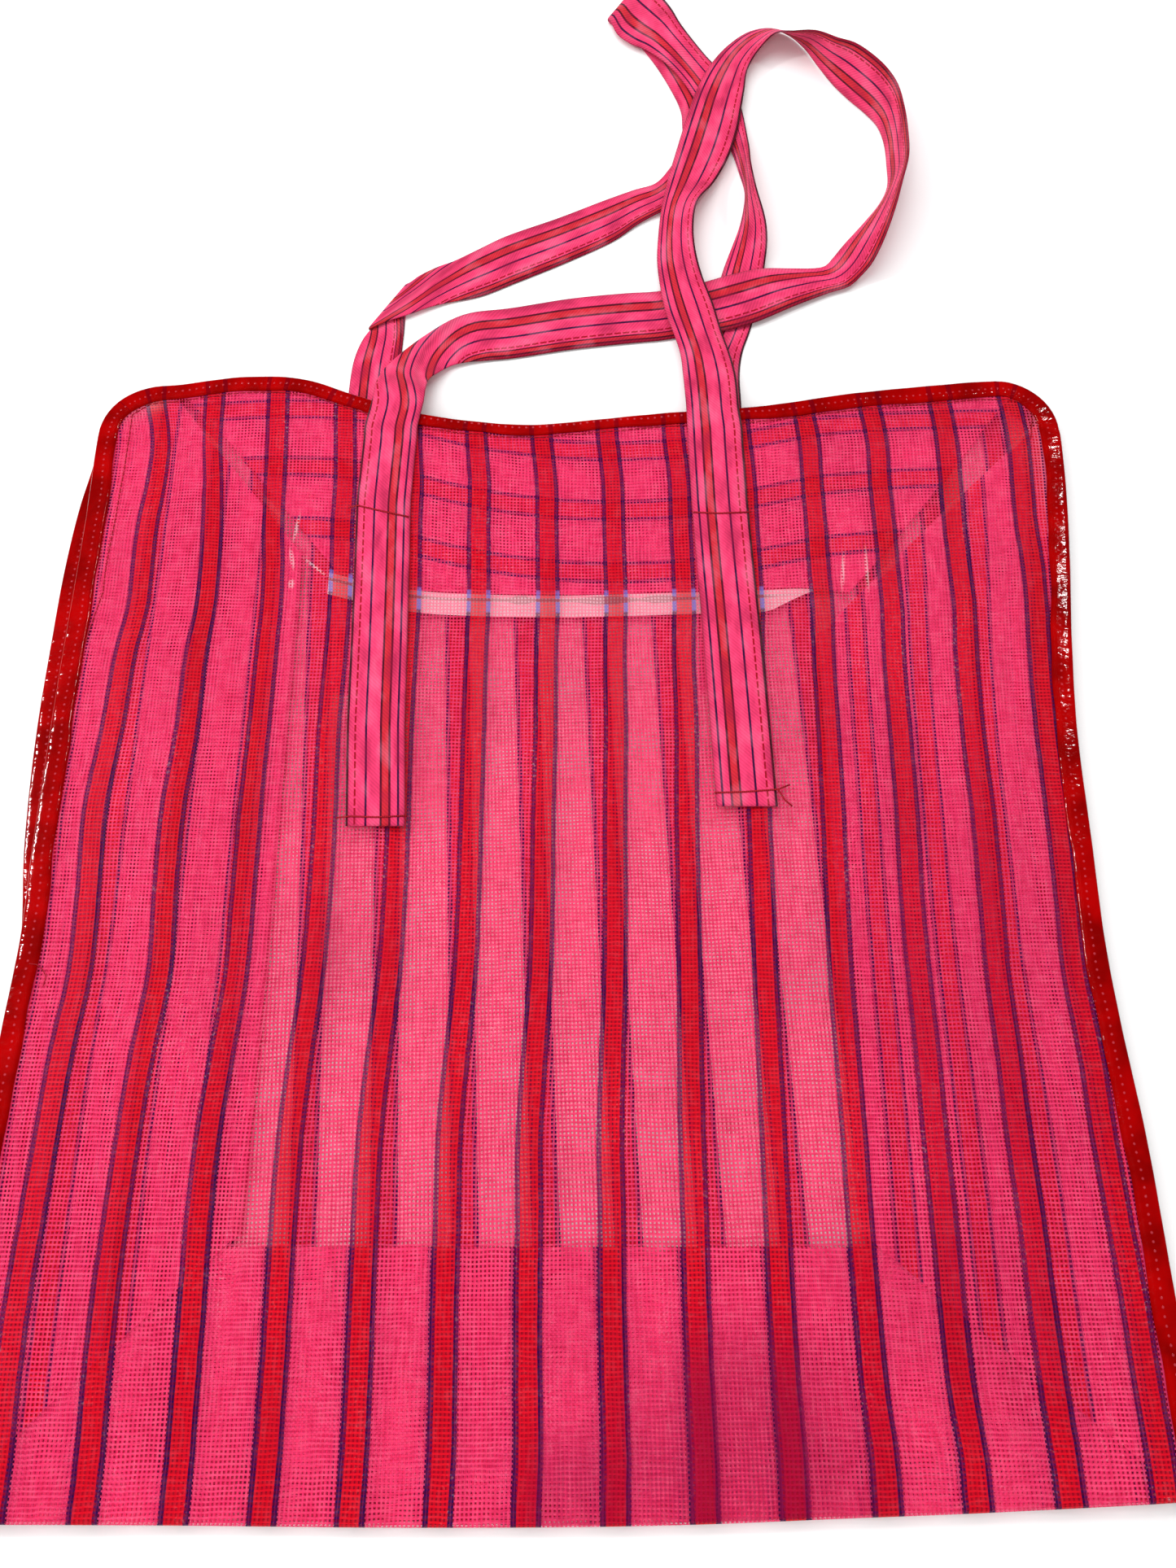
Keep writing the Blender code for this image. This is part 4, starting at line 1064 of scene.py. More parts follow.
def layered_colour(add, base, in_stripe, in_red, uneven):
    """The tape, its seam and the closure's seams seen through the front, painted glints, painted shade and
    painted light.
    """
    spot = add("TexCoord", output="Object")
    x = add("SeparateXYZ", (spot,), output=0)
    tones = add("UVMap", uv_map="tone")
    shade, above_tape = (add("SeparateXYZ", (tones,), output=axis) for axis in (0, 1))
    middle_x, soft = FOOTPRINT_MIDDLE[0], TAPE_END_SOFT * METRE
    tape_left, tape_right = (TAPE_LEFT - middle_x) * METRE, (TAPE_RIGHT - middle_x) * METRE
    over_closure = add("MapRange", (above_tape, -TAPE_SOFT, TAPE_SOFT))
    over_tape = add("MapRange", (above_tape, -TAPE_TALL - TAPE_SOFT, -TAPE_TALL + TAPE_SOFT))
    below_closure = add("MapRange", (above_tape, TAPE_SOFT, -TAPE_SOFT))
    past_left = add("MapRange", (x, tape_left - soft, tape_left + soft))
    past_right = add("MapRange", (x, tape_right, tape_right - TAPE_TAPER * METRE))
    for inside in (below_closure, past_left, past_right):
        over_tape = add("Math.MULTIPLY", (over_tape, inside))

    # Paler places: the bare pink, the tape, the painted sparkle of glittering threads, painted glints, seams
    # and the patches of painted light
    pale = add("MapRange", (uneven, *BARE_PINK_LIGHT))
    plain = add("Math.MULTIPLY_ADD", (in_stripe, *BARE_SHARE))
    pale = add("Math.MULTIPLY", (pale, plain))
    # Painted sparkle highlights on glittering threads
    fine = add("TexNoise", {"Vector": spot, "Scale": 1 / (GLITTER_SIZE * METRE), "Detail": 1.0})
    glitter = add("MapRange", (fine, *GLITTER_GRAIN))
    loose = add("MapRange", (uneven, *GLITTER_CLOTH))
    on_pink = add("Math.MULTIPLY_ADD", (in_red, *GLITTER_SHARE))
    for part in (loose, on_pink):
        glitter = add("Math.MULTIPLY", (glitter, part))
    lights = [(over_tape, TAPE_LIGHT), (glitter, GLITTER_LIGHT)]
    lights += [(glint_mask(add, spot, glint), GLINT_LIGHT) for glint in GLINTS]
    for seam in CLOSURE_SEAMS:
        along_seam = seam_line(add, spot, seam, CLOSURE_SEAM_WIDE / 2)
        lights.append((add("Math.MULTIPLY", (along_seam, over_closure)), SEAM_LIGHT))
    # Painted light from the pale patches
    lights.append((add("Math.MAXIMUM", (shade, 0.0)), PAINTED_LIGHT_SHARE))
    for mask, amount in lights:
        pale = add("Math.MULTIPLY_ADD", (mask, amount, pale))

    # The stripes and the stained seam on the tape, and the patches of painted shade
    stained = 0.0
    for blot_x, half_wide in TAPE_BLOTS:
        away = add("Math.SUBTRACT", (x, (blot_x - middle_x) * METRE))
        away = add("Math.ABSOLUTE", (away,))
        blot = add("MapRange", (away, half_wide * METRE, half_wide * METRE / 3))
        stained = add("Math.ADD", (stained, blot))
    on_line = add("Math.SUBTRACT", (in_stripe, in_red))
    seam_wide = add("Math.MULTIPLY_ADD", (stained, TAPE_BLOT_HALF, TAPE_SEAM_HALF))
    on_seam = add("Math.COMPARE", (above_tape, TAPE_SEAM, seam_wide))
    on_line, on_seam = (add("Math.MULTIPLY", (mask, over_tape)) for mask in (on_line, on_seam))
    on_line, on_seam = add("Math.MULTIPLY", (on_line, LINE_TINT)), add("Math.MULTIPLY", (on_seam, SEAM_TINT))
    # Painted shade from the dark patches
    darker = add("Math.MINIMUM", (shade, 0.0))
    darker = add("Math.MULTIPLY", (darker, -1.0))
    tints = ((pale, SHINE_THROUGH), (on_line, LINE_ON_TAPE), (on_seam, SEAM_ON_TAPE), (darker, PAINTED_SHADE_TINT))
    for amount, tint in tints:
        base = add("Mix", {FACTOR: amount, FIRST: base, SECOND: rgba(tint)}, **COLOUR_MIX)
    return base


def glossy_vinyl(sizes, colours):
    """Calendered PVC sheet: see-through red, smooth and wet-looking, with a row of needle dots."""
    material, add = new_material("calendered_red_pvc")
    place = add("UVMap", uv_map="cloth")
    along, across = (add("SeparateXYZ", (place,), output=axis) for axis in (0, 1))
    from_hole = add("Math.PINGPONG", (along, sizes.needle_pitch / METRE / 2))
    from_row = add("Math.SUBTRACT", (across, NEEDLE_ROW))
    squared = add("Math.POWER", (from_hole, 2.0))
    row_squared = add("Math.MULTIPLY", (from_row, from_row))
    distance = add("Math.ADD", (squared, row_squared))
    hole = add("MapRange", (distance, *NEEDLE_FADE))
    dotted = add("Math.MULTIPLY", (hole, NEEDLE_TINT))
    shade = add("TexNoise", {"Vector": place, "Scale": 1 / VINYL_SHADE_SIZE, "Detail": 3.0})
    shade = add("MapRange", (shade, *VINYL_SHADE_RANGE))
    stripe = add("SeparateXYZ", (add("UVMap", uv_map="tone"),), output=0)
    stripe = add("Math.PINGPONG", (stripe, sizes.stripe_pitch / METRE / 2))
    line = (sizes.red_wide + sizes.purple_wide) / METRE / 2
    stripe = add("Math.COMPARE", (stripe, line, UNDER_VINYL_HALF))
    stripe = add("Math.MULTIPLY", (stripe, UNDER_VINYL_TINT))
    base = rgba(colours.vinyl_red, 0.7)
    tints = (
        (shade, rgba(colours.vinyl_red, 1.35)),
        (stripe, rgba(STRIPE_UNDER_VINYL)),
        (dotted, rgba(NEEDLE_DOT)),
    )
    for amount, tint in tints:
        base = add("Mix", {FACTOR: amount, FIRST: base, SECOND: tint}, **COLOUR_MIX)
    dents = drawn_out_noise(add, place, VINYL_DENT_SIZES, 2.0)
    height = add("Math.MULTIPLY_ADD", (hole, -NEEDLE_SINKS, dents))
    bump = add("Bump", {"Strength": 0.5, "Distance": 0.0008, "Height": height})
    finish = {"Roughness": 0.1, "IOR": 1.53, "Specular IOR Level": 0.3}
    finish_material(add, {"Base Color": base, "Normal": bump, **finish})
    return material


def face_stops(bands, face, ground):
    """The stops of a ramp for one face of the strap: its coloured bands with the ground between them."""
    soft, stops, last = BAND_EDGE_SOFT, [], None
    for start, end, colour in bands:
        if not face <= start < face + 1:
            continue
        low, high = start - face, end - face
        if last is None or low - last > soft:
            if last is not None:
                stops.append((last + soft, ground))
            if low > 0:
                stops.append((max(0.0, low - soft), ground))
        stops += [(low, colour), (high - soft / 2, colour)]
        last = high
    if last < 1 - soft:
        stops.append((last + soft, ground))
    return stops


def striped_twill(sizes, colours):
    """Cotton and polyester twill, woven in stripes and pressed flat: matt, with fine slanted ribs.

    The real ribs are under 1 mm apart, and they are drawn wider apart so that they show.
    """
    material, add = new_material("striped_cotton_twill")
    place = add("UVMap", uv_map="cloth")
    around, along = (add("SeparateXYZ", (place,), output=axis) for axis in (0, 1))
    share = add("Math.MULTIPLY", (around, 0.5))
    share = add("Math.FRACT", (share,))
    doubled = add("Math.MULTIPLY", (share, 2.0))
    face_share = add("Math.FRACT", (doubled,))
    on_under = add("Math.GREATER_THAN", (share, 0.5))
    dyes = {
        "maroon": colours.strap_maroon,
        "purple": colours.strap_purple,
        "red": colours.strap_red,
        # Crimson is partly painted shade on the tube's folded side
        "crimson": linear(STRAP_CRIMSON),
    }
    bands = [(start, end, dyes[dye]) for start, end, dye in STRAP_BANDS]
    upper, under = (
        add("ValToRGB", (face_share,), ramp=face_stops(bands, face, colours.strap_pink)) for face in (0, 1)
    )
    tints = [(on_under, under)]
    dash = add("Math.PINGPONG", (along, STRAP_STITCH / 2))
    dash = add("Math.GREATER_THAN", (dash, STRAP_STITCH_GAP / 2))
    for seam in STRAP_SEAMS:
        on_seam = add("Math.COMPARE", (doubled, seam, STRAP_SEAM_HALF))
        tints.append((add("Math.MULTIPLY", (on_seam, dash)), rgba(colours.thread_red)))
    # Streaks of painted sheen and painted shade along the strap
    fall = drawn_out_noise(add, place, STRAP_FALL_SIZES, 3.0)
    tints += [(add("MapRange", (fall, *limits)), rgba(tint)) for limits, tint in STRAP_TINTS]
    base = upper
    for amount, tint in tints:
        base = add("Mix", {FACTOR: amount, FIRST: base, SECOND: tint}, **COLOUR_MIX)
    slanted = add("Math.MULTIPLY_ADD", (around, STRAP_WIDE, along))
    rib = to_next_line(add, slanted, sizes.twill_pitch / METRE)
    # Patchy painted light and shade, and painted shade darkening the folded edges
    shading_noise = add("TexNoise", {"Vector": place, "Scale": 1 / STRAP_SHADING_NOISE_SIZE, "Detail": 4.0})
    from_edge = add("Math.PINGPONG", (face_share, 0.5))
    edge = add("MapRange", (from_edge, 0.0, STRAP_EDGE_WIDE))
    gain = STRAP_DARKEST
    for part, amount in ((rib, RIB_GAIN), (shading_noise, SHADING_NOISE_GAIN), (edge, EDGE_GAIN)):
        gain = add("Math.MULTIPLY_ADD", (part, amount, gain))
    base = add("HueSaturation", {"Color": base, "Value": gain})
    bump = add("Bump", {"Strength": 0.5, "Distance": 0.0003, "Height": rib})
    finish = {"Roughness": 0.75, "Sheen Weight": 0.05, "Specular IOR Level": 0.2}
    finish_material(add, {"Base Color": base, "Normal": bump, **finish})
    return material


def pale_film(colours):
    """Extruded polyethylene tape: milky, faintly streaked along its length, with a soft shine."""
    material, add = new_material("extruded_polyethylene_tape")
    streak = drawn_out_noise(add, add("UVMap", uv_map="cloth"), FILM_STREAK_SIZES, 3.0)
    dull, bright = rgba(colours.tape_white, 0.85), rgba(colours.tape_white, 1.05)
    base = add("Mix", {FACTOR: streak, FIRST: dull, SECOND: bright}, **COLOUR_MIX)
    bump = add("Bump", {"Strength": 0.3, "Distance": 0.0002, "Height": streak})
    finish_material(add, {"Base Color": base, "Roughness": 0.3, "IOR": 1.51, "Normal": bump})
    return material


def sewing_thread(colours):
    """Spun polyester thread: two plies twisted together, matt, with painted shade between the plies."""
    material, add = new_material("spun_polyester_thread")
    place = add("UVMap", uv_map="cloth")
    ply = add("TexWave", {"Vector": place, "Scale": WAVE_TO_THE_UNIT / PLY_PITCH, "Distortion": 0.5})
    # Painted shade between the plies
    dark, light = rgba(colours.thread_red, 0.6), rgba(colours.thread_red, 1.3)
    base = add("Mix", {FACTOR: ply, FIRST: dark, SECOND: light}, **COLOUR_MIX)
    finish_material(add, {"Base Color": base, "Roughness": 0.6})
    return material


def panel_rows(face, shares, fractions):
    """Plan points of a panel: a row for each fraction of its height, from the base up."""
    left_top, right_top = side_x(face, "left", SIDES[-1][0]), side_x(face, "right", SIDES[-1][0])
    top_x = left_top + CLOTH_INSET + shares * (right_top - left_top - 2 * CLOTH_INSET)
    top = mouth_y(face, top_x, CLOTH_INSET)
    rows = []
    fold = through(FOLD_EDGE, 1, top_x)
    for fraction in fractions:
        y = fold + (top - fold) * fraction
        left = side_x(face, "left", y) + CLOTH_INSET
        right = side_x(face, "right", y) - CLOTH_INSET
        rows.append(np.stack([left + shares * (right - left), y], axis=1))
    return np.array(rows)


def base_row(shares, y):
    """Plan points of a row of the base, which stops short of the bound edges."""
    left = side_x("front", "left", 0) + CLOTH_INSET + BASE_END_INSET
    right = side_x("front", "right", 0) - CLOTH_INSET - BASE_END_INSET
    x = left + shares * (right - left)
    return np.stack([x, y + (through(FOLD_EDGE, 1, x) - FOLD_FOOT) * (BASE_FOLD - y) / BASE_FOLD], axis=1)


def turn(start, end, low_layer, high_layer, bulge):
    """Rows of a half turn from a higher layer down to a lower one, bulging one way in plan."""
    radius = (LEVELS[high_layer] - LEVELS[low_layer]) * LAYER_PITCH / 2
    start, end = laid(high_layer, start), laid(low_layer, end)
    rows = []
    for angle in np.linspace(0, math.pi, TURN_ROWS + 2)[1:-1]:
        share = (1 - math.cos(angle)) / 2
        row = start + (end - start) * share
        row[:, :2] += np.array(bulge) * radius * math.sin(angle)
        rows.append(row)
    return rows


def build_body(sizes, colours):
    """Front panel, tucked-in base and back panel, cut in one strip."""
    wide = float(side_x("front", "right", 0) - side_x("front", "left", 0))
    middle = steps(0, 1, CELL / wide)
    corner = CORNER_RADIUS / wide * (1 - np.cos(np.linspace(0, math.pi / 2, 7)[1:-1]))
    shares = np.unique(np.concatenate([middle, corner, 1 - corner]).round(6))
    tall = float(mouth_y("front", 0))
    fractions = np.linspace(0, 1, math.ceil(tall / CELL) + 1)
    front = panel_rows("front", shares, fractions[::-1])
    back = panel_rows("back", shares, fractions)
    up = np.array([base_row(shares, y) for y in steps(FOLD_FOOT, BASE_FOLD, CELL)])
    rows = [*laid("front", front), *turn(front[-1], up[0], "base_upper", "front", (0, -1))]
    rows += [*laid("base_upper", up), *turn(up[-1], up[-1], "base_lower", "base_upper", (0, 1))]
    rows += [*laid("base_lower", up[::-1]), *turn(up[0], back[0], "back", "base_lower", (0, -1))]
    front_count, back_start = len(front), len(rows)
    grid = np.array([*rows, *laid("back", back)])

    runs = np.linalg.norm(np.diff(grid, axis=0), axis=2)
    along = np.concatenate([np.zeros((1, len(shares))), np.cumsum(runs, axis=0)])
    along = along[front_count - 1] - along
    straight = (STRIPE_PLACES[0], STRIPE_PLACES[-1])
    across = stripe_u(grid[..., 0], grid[..., 1])
    across[front_count:] = stripe_u(grid[front_count:, :, 0], grid[front_count:, :, 1], straight)
    inner = slice(front_count, back_start)
    across[inner] += BASE_STRIPE_SLANT * np.abs(along[inner].mean(axis=1))[:, None]
    lean = BACK_STRIPE_LEAN * (BACK_STRIPE_EVEN_Y - grid[back_start:, :, 1])
    across[back_start:] -= np.clip(lean, -BACK_STRIPE_SHIFT_MOST, BACK_STRIPE_SHIFT_MOST)
    along[:front_count] = grid[:front_count, :, 1]
    uv = np.stack([across, along], axis=2)
    materials = [
        woven_mesh("woven_polyethylene_mesh_front", sizes, colours, FRONT_COVER, True),
        woven_mesh("woven_polyethylene_mesh", sizes, colours, INNER_COVER, False),
    ]
    row_materials = (np.arange(len(grid)) >= front_count).astype(int)
    # The tone map's first value holds the painted shade and light of the patches
    tones = np.stack([tone(grid[..., 0], grid[..., 1]), grid[..., 1] - tape_top(grid[..., 0])], axis=2)
    piece = grid_object("front_base_and_back", grid, uv, materials, row_materials, tones)
    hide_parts("body_cloth")


def gusset_top(face, side, x):
    """The gusset's upper edge: the mouth's corner, and then the mitre beside the closure."""
    start, end = CLOSURE_TOP[side], CLOSURE_END[side]
    line = start[1] + (end[1] - start[1]) * (x - start[0]) / (end[0] - start[0])
    return np.minimum(mouth_y(face, x, INNER_INSET), line - MITRE_GAP)


def gusset_leaf(face, side, depths, fractions):
    """Plan points of one leaf, a column for each share of the way from the bound edge to the fold."""
    fold = GUSSET_FOLD[side]
    inward = 1 if side == "left" else -1
    edge = side_x(face, side, SIDES[-1][0]) + inward * INNER_INSET
    columns = []
    for depth in depths:
        nominal_x = edge + (fold - edge) * depth
        foot = GUSSET_FOOT + (GUSSET_FOLD_FOOT - GUSSET_FOOT) * depth
        y = foot + (gusset_top(face, side, nominal_x) - foot) * fractions
        local_edge = side_x(face, side, y) + inward * INNER_INSET
        columns.append(np.stack([local_edge + (fold - local_edge) * depth, y], axis=1))
    return np.array(columns)


def build_gusset(side, material):
    """One side strip, folded inwards: its upper leaf, the fold and its lower leaf."""
    inward = 1 if side == "left" else -1
    reach = float(abs(GUSSET_FOLD[side] - side_x("front", side, 0)))
    depths = steps(0, 1, CELL / reach)
    fractions = np.linspace(0, 1, math.ceil(float(mouth_y("front", 0)) / CELL))
    upper = gusset_leaf("front", side, depths, fractions)
    lower = gusset_leaf("back", side, depths, fractions)[::-1]
    bend = turn(upper[-1], lower[0], "gusset_lower", "gusset_upper", (inward, 0))
    grid = np.array([*laid("gusset_upper", upper), *bend, *laid("gusset_lower", lower)])
    runs = np.linalg.norm(np.diff(grid, axis=0), axis=2).mean(axis=1)
    across = np.concatenate([[0], np.cumsum(runs)]) + GUSSET_STRIPE_SHIFT[side]
    uv = np.stack([np.repeat(across[:, None], grid.shape[1], axis=1), grid[..., 1]], axis=2)
    piece = grid_object("gusset_" + side + "_strip", grid, uv, [material])
    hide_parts("gusset_" + side)


def build_closure(face, material):
    """One inner strip below the mouth, with slanted ends, sinking towards the tape."""
    top_layer = "gusset_upper" if face == "front" else "gusset_lower"
    foot_layer = "base_upper" if face == "front" else "base_lower"
    shares = steps(0, 1, CELL / (CLOSURE_TOP["right"][0] - CLOSURE_TOP["left"][0]))
    rows = []
    for share in steps(0, 1, CELL / (float(mouth_y(face, 0)) - CLOSURE_FOOT)):
        left, right = (
            CLOSURE_TOP[side][0] + (CLOSURE_END[side][0] - CLOSURE_TOP[side][0]) * share + gap
            for side, gap in (("left", MITRE_GAP), ("right", -MITRE_GAP))
        )
        x = left + (right - left) * shares
        top = mouth_y(face, x, INNER_INSET)
        y = top + (tape_top(x) + CLOSURE_OVER_TAPE - top) * share
        sunk = smooth_step((share - CLOSURE_SINKS_FROM) / (1 - CLOSURE_SINKS_FROM))
        z = surface_z(top_layer, x, y) * (1 - sunk) + surface_z(foot_layer, x, y) * sunk
        rows.append(np.stack([x, y, z], axis=1))
    grid = np.array(rows)
    uv = np.stack([through(CLOSURE_STRIPE, 1, grid[..., 0]) - grid[..., 1], grid[..., 0]], axis=2)
    piece = grid_object("closure_" + face + "_strip", grid, uv, [material])
    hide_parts("closure_" + face)


def build_tape(colours):
    """The pale tape that joins the closures' lower edges."""
    x = steps(TAPE_LEFT, TAPE_RIGHT, CELL)
    tall = TAPE_TALL * np.clip((TAPE_RIGHT + 2 - x) / TAPE_TAPER, 0, 1)
    plan = np.array([np.stack([x, tape_top(x) - tall * share], axis=1) for share in np.linspace(0, 1, 5)])
    piece = grid_object("closure_edge_tape", laid("tape", plan), plan, [pale_film(colours)])
    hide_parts("closure_tape")


def edge_path(face, cell):
    """Plan points round the left, top and right of the bag, from its foot to its foot."""
    top_y = SIDES[-1][0]
    corner_left = float(side_x(face, "left", top_y)) + CORNER_RADIUS
    corner_right = float(side_x(face, "right", top_y)) - CORNER_RADIUS
    shoulders = [float(mouth_y(face, x)) - CORNER_RADIUS for x in (corner_left, corner_right)]
    angles = np.linspace(0, math.pi / 2, math.ceil(CORNER_RADIUS * math.pi / 2 / cell))
    top_x = [corner_left - CORNER_RADIUS * math.cos(angle) for angle in angles]
    top_x += list(steps(corner_left, corner_right, cell)[1:-1])
    top_x += [corner_right + CORNER_RADIUS * math.cos(angle) for angle in angles[::-1]]
    path = [(float(side_x(face, "left", y)), y) for y in steps(BINDING_FOOT, shoulders[0], cell)[:-1]]
    path += [(x, float(mouth_y(face, x))) for x in top_x]
    path += [(float(side_x(face, "right", y)), y) for y in steps(shoulders[1], BINDING_FOOT, cell)[1:]]
    return np.array(path)


def binding_waver(run):
    """How much wider or narrower the binding lies along its run."""
    return 0.35 * math.sin(run / 11.0) + 0.2 * math.sin(run / 5.3 + 1.0)


def binding_pucker(run):
    """How the vinyl puckers along its run."""
    return 0.2 * math.sin(run / 4.3 + 1.6 * math.sin(run / 27.0)) + 0.25 * math.sin(run / 13.0)


def binding_profile(wide, low, high, thick, pucker):
    """The folded vinyl's section: its outer face over the edge and under it, and its inner face back."""
    soft, middle, top = (high - low) / 2 + thick, (high + low) / 2, high + thick
    outer = [(-wide, top), (-wide * 0.72, top + 0.28 + 0.6 * pucker)]
    outer += [(-wide * 0.5, top + 0.1), (-wide * 0.28, top + 0.3 - 0.5 * pucker)]
    for angle in np.linspace(math.pi / 2, -math.pi / 2, 7):
        outer.append((-soft * (1 - math.cos(angle)) - 0.1, middle + soft * math.sin(angle)))
    outer += [(-wide * 0.4, max(low - thick - 0.15, FLOOR_GAP)), (-wide, max(low - thick, 2 * FLOOR_GAP))]
    inner = [(-wide, low), (-wide * 0.4, low - 0.05), (-soft, low), (-soft, high), (-wide * 0.4, high)]
    return [*outer, *inner, (-wide, high)]


def build_binding(face, sizes, material):
    """Vinyl folded over a panel's edge and the edge of the strip beside it."""
    upper = "front" if face == "front" else "gusset_lower"
    lower = "gusset_upper" if face == "front" else "back"
    path = edge_path(face, BINDING_CELL)
    direction = np.gradient(path, axis=0)
    direction /= np.linalg.norm(direction, axis=1, keepdims=True)
    outward = np.stack([-direction[:, 1], direction[:, 0]], axis=1)
    thick = sizes.vinyl_thick / METRE
    sections, places, tones = [], [], []
    for point, out, run in zip(path, outward, run_along(path)):
        on_top = out[1] ** 2
        top_wide = float(through(MOUTH_BINDING, 1, point[0]))
        wide = BINDING_SIDE_WIDE + (top_wide - BINDING_SIDE_WIDE) * on_top + binding_waver(run)
        inside = point - out * (wide * 0.6)
        high = float(surface_z(upper, *inside)) + VINYL_GAP
        low = float(surface_z(lower, *inside)) - VINYL_GAP
        profile = binding_profile(wide, low, high, thick, binding_pucker(run))
        sections.append([(*(point + out * offset), z) for offset, z in profile])
        widths = run_along(np.array(profile))
        places.append([(run, width) for width in (*widths, widths[-1] + thick)])
        tones.append((float(stripe_u(point[0], point[1])) if on_top > 0.5 else 0.0, 0.0))
    name = "binding_" + face + "_vinyl"
    piece = tube_object(name, np.array(sections), np.array(places), [material], np.array(tones))
    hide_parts("binding_" + face)


def smooth_route(rows, cell):
    """Pairs of strap edges at an even spacing, on a smooth curve through the rows."""
    rows = np.array(rows, float)
    centres = (rows[:, :3] + rows[:, 3:]) / 2
    lengths = np.linalg.norm(np.diff(centres, axis=0), axis=1)
    gaps = np.sqrt(lengths) + METRE
    slopes = np.empty_like(rows)
    slopes[0] = (rows[1] - rows[0]) / gaps[0]
    slopes[-1] = (rows[-1] - rows[-2]) / gaps[-1]
    for row in range(1, len(rows) - 1):
        before, after = gaps[row - 1], gaps[row]
        slopes[row] = (
            (rows[row] - rows[row - 1]) / before
            - (rows[row + 1] - rows[row - 1]) / (before + after)
            + (rows[row + 1] - rows[row]) / after
        )
    found = [rows[0]]
    for row, (length, gap) in enumerate(zip(lengths, gaps)):
        ends = rows[row], rows[row + 1], slopes[row] * gap, slopes[row + 1] * gap
        pieces = max(2, math.ceil(length / cell))
        found += [curve(t, *ends) for t in np.linspace(0, 1, pieces + 1)[1:]]
    return np.array(found)


def front_end(rows):
    """Edges of one sewn end of the front strap, resting on the front panel and on the binding."""
    rows = np.array(rows, float)
    found = []
    for y in steps(rows[0, 2], rows[-1, 2], STRAP_CELL):
        left, right = (np.interp(y, rows[:, 2], rows[:, column]) for column in (0, 1))
        climb_from = mouth_y("front", (left + right) / 2) - STRAP_CLIMBS_BEFORE
        raised = BINDING_STEP * smooth_step((y - climb_from) / BINDING_TOP_WIDE)
        level = max(float(surface_z("front", x, y)) + STRAP_REST + float(raised) for x in (left, right))
        found.append((left, y, level, right, y, level))
    return found


def sewn_end_top(rows, y):
    """The height of the top of one sewn end of the front strap."""
    rows = np.array(rows, float)
    edges = [np.interp(y, rows[:, 2], rows[:, column]) for column in (0, 1)]
    return max(float(surface_z("front", x, y)) for x in edges) + STRAP_REST + CROSS_THREAD_RISE


def strap_object(name, route, roll, sizes, material):
    """A cloth tube pressed flat along a route, softly crowned between its two folded edges."""
    left, right = route[:, :3], route[:, 3:]
    centre = (left + right) / 2
    along = run_along(centre)
    normal = np.cross(right - left, np.gradient(centre, axis=0))
    normal /= np.linalg.norm(normal, axis=1, keepdims=True)
    rolled = roll[2] + smooth_step((along - roll[0]) / (roll[1] - roll[0]))
    shares, crowns = np.array(STRAP_CROWN).T
    half = sizes.strap_thick / METRE / 2
    over = list(zip(shares, half * crowns))
    sections, places = [], []
    for near, far, up, run, turned in zip(left, right, normal, along, rolled):
        top = [near + (far - near) * share + up * rise for share, rise in over]
        under = [near + (far - near) * share - up * rise for share, rise in over[-2:0:-1]]
        sections.append(top + under)
        places.append([(share + turned, run) for share in (*shares, *(2 - shares[-2:0:-1]), 2.0)])
    piece = tube_object(name, np.array(sections), np.array(places), [material])
    return piece, along[-1]


def thread_mesh(name, runs, wide, material):
    """Sewing thread along a list of lines of points, as one mesh of thin tubes."""
    points, faces, uvs = [], [], []
    for line in runs:
        line = np.array(line, float)
        ahead = np.gradient(line, axis=0)
        ahead /= np.linalg.norm(ahead, axis=1, keepdims=True)
        side = np.cross(ahead, (0, 0, 1))
        side /= np.linalg.norm(side, axis=1, keepdims=True) + 1e-9
        up = np.cross(side, ahead)
        first = len(points)
        run = run_along(line)
        for spot, across, rise in zip(line, side, up):
            for corner in range(THREAD_SIDES):
                angle = 2 * math.pi * corner / THREAD_SIDES
                points.append(spot + wide / 2 * (across * math.cos(angle) + rise * math.sin(angle)))
        for section in range(len(line) - 1):
            for corner in range(THREAD_SIDES):
                after = (corner + 1) % THREAD_SIDES
                low, high = first + section * THREAD_SIDES, first + (section + 1) * THREAD_SIDES
                faces.append((low + corner, high + corner, high + after, low + after))
                uvs += [(run[section], corner), (run[section + 1], corner)]
                uvs += [(run[section + 1], corner + 1), (run[section], corner + 1)]
        for section, way in ((0, 1), (len(line) - 1, -1)):
            ring = range(THREAD_SIDES)[::way]
            faces.append(tuple(first + section * THREAD_SIDES + corner for corner in ring))
            uvs += [(run[section], corner) for corner in ring]
    return mesh_object(name, points, faces, uvs, [material])


def stitch_runs(path, heights, stitch):
    """Short separate stitches along a path, each bowed up in its middle."""
    path = np.array(path, float)
    run = run_along(path)
    runs = []
    start = 0.0
    while start + stitch < run[-1]:
        line = []
        for share in (0.0, 0.25, 0.5, 0.75, 1.0):
            x, y = (np.interp(start + stitch * share, run, path[:, axis]) for axis in (0, 1))
            line.append((x, y, float(heights(x, y)) + STITCH_BOW * math.sin(math.pi * share)))
        runs.append(line)
        start += stitch + STITCH_GAP
    return runs


class MARKETBAG_OT_body(bpy.types.Operator):
    """Builds the front, base and back panel in one strip of mesh"""

    bl_idname = "market_bag.body"
    bl_label = "Front, Base and Back"

    def execute(self, context):
        build_body(context.scene.bag_sizes, context.scene.bag_colours)
        return {"FINISHED"}


class MARKETBAG_OT_inner(bpy.types.Operator):
    """Builds the gussets, the closure strips and the tape between them"""

    bl_idname = "market_bag.inner"
    bl_label = "Gussets and Closure"

    def execute(self, context):
        material = bpy.data.materials["woven_polyethylene_mesh"]
        for side in ("left", "right"):
            build_gusset(side, material)
        for face in ("front", "back"):
            build_closure(face, material)
        build_tape(context.scene.bag_colours)
        return {"FINISHED"}


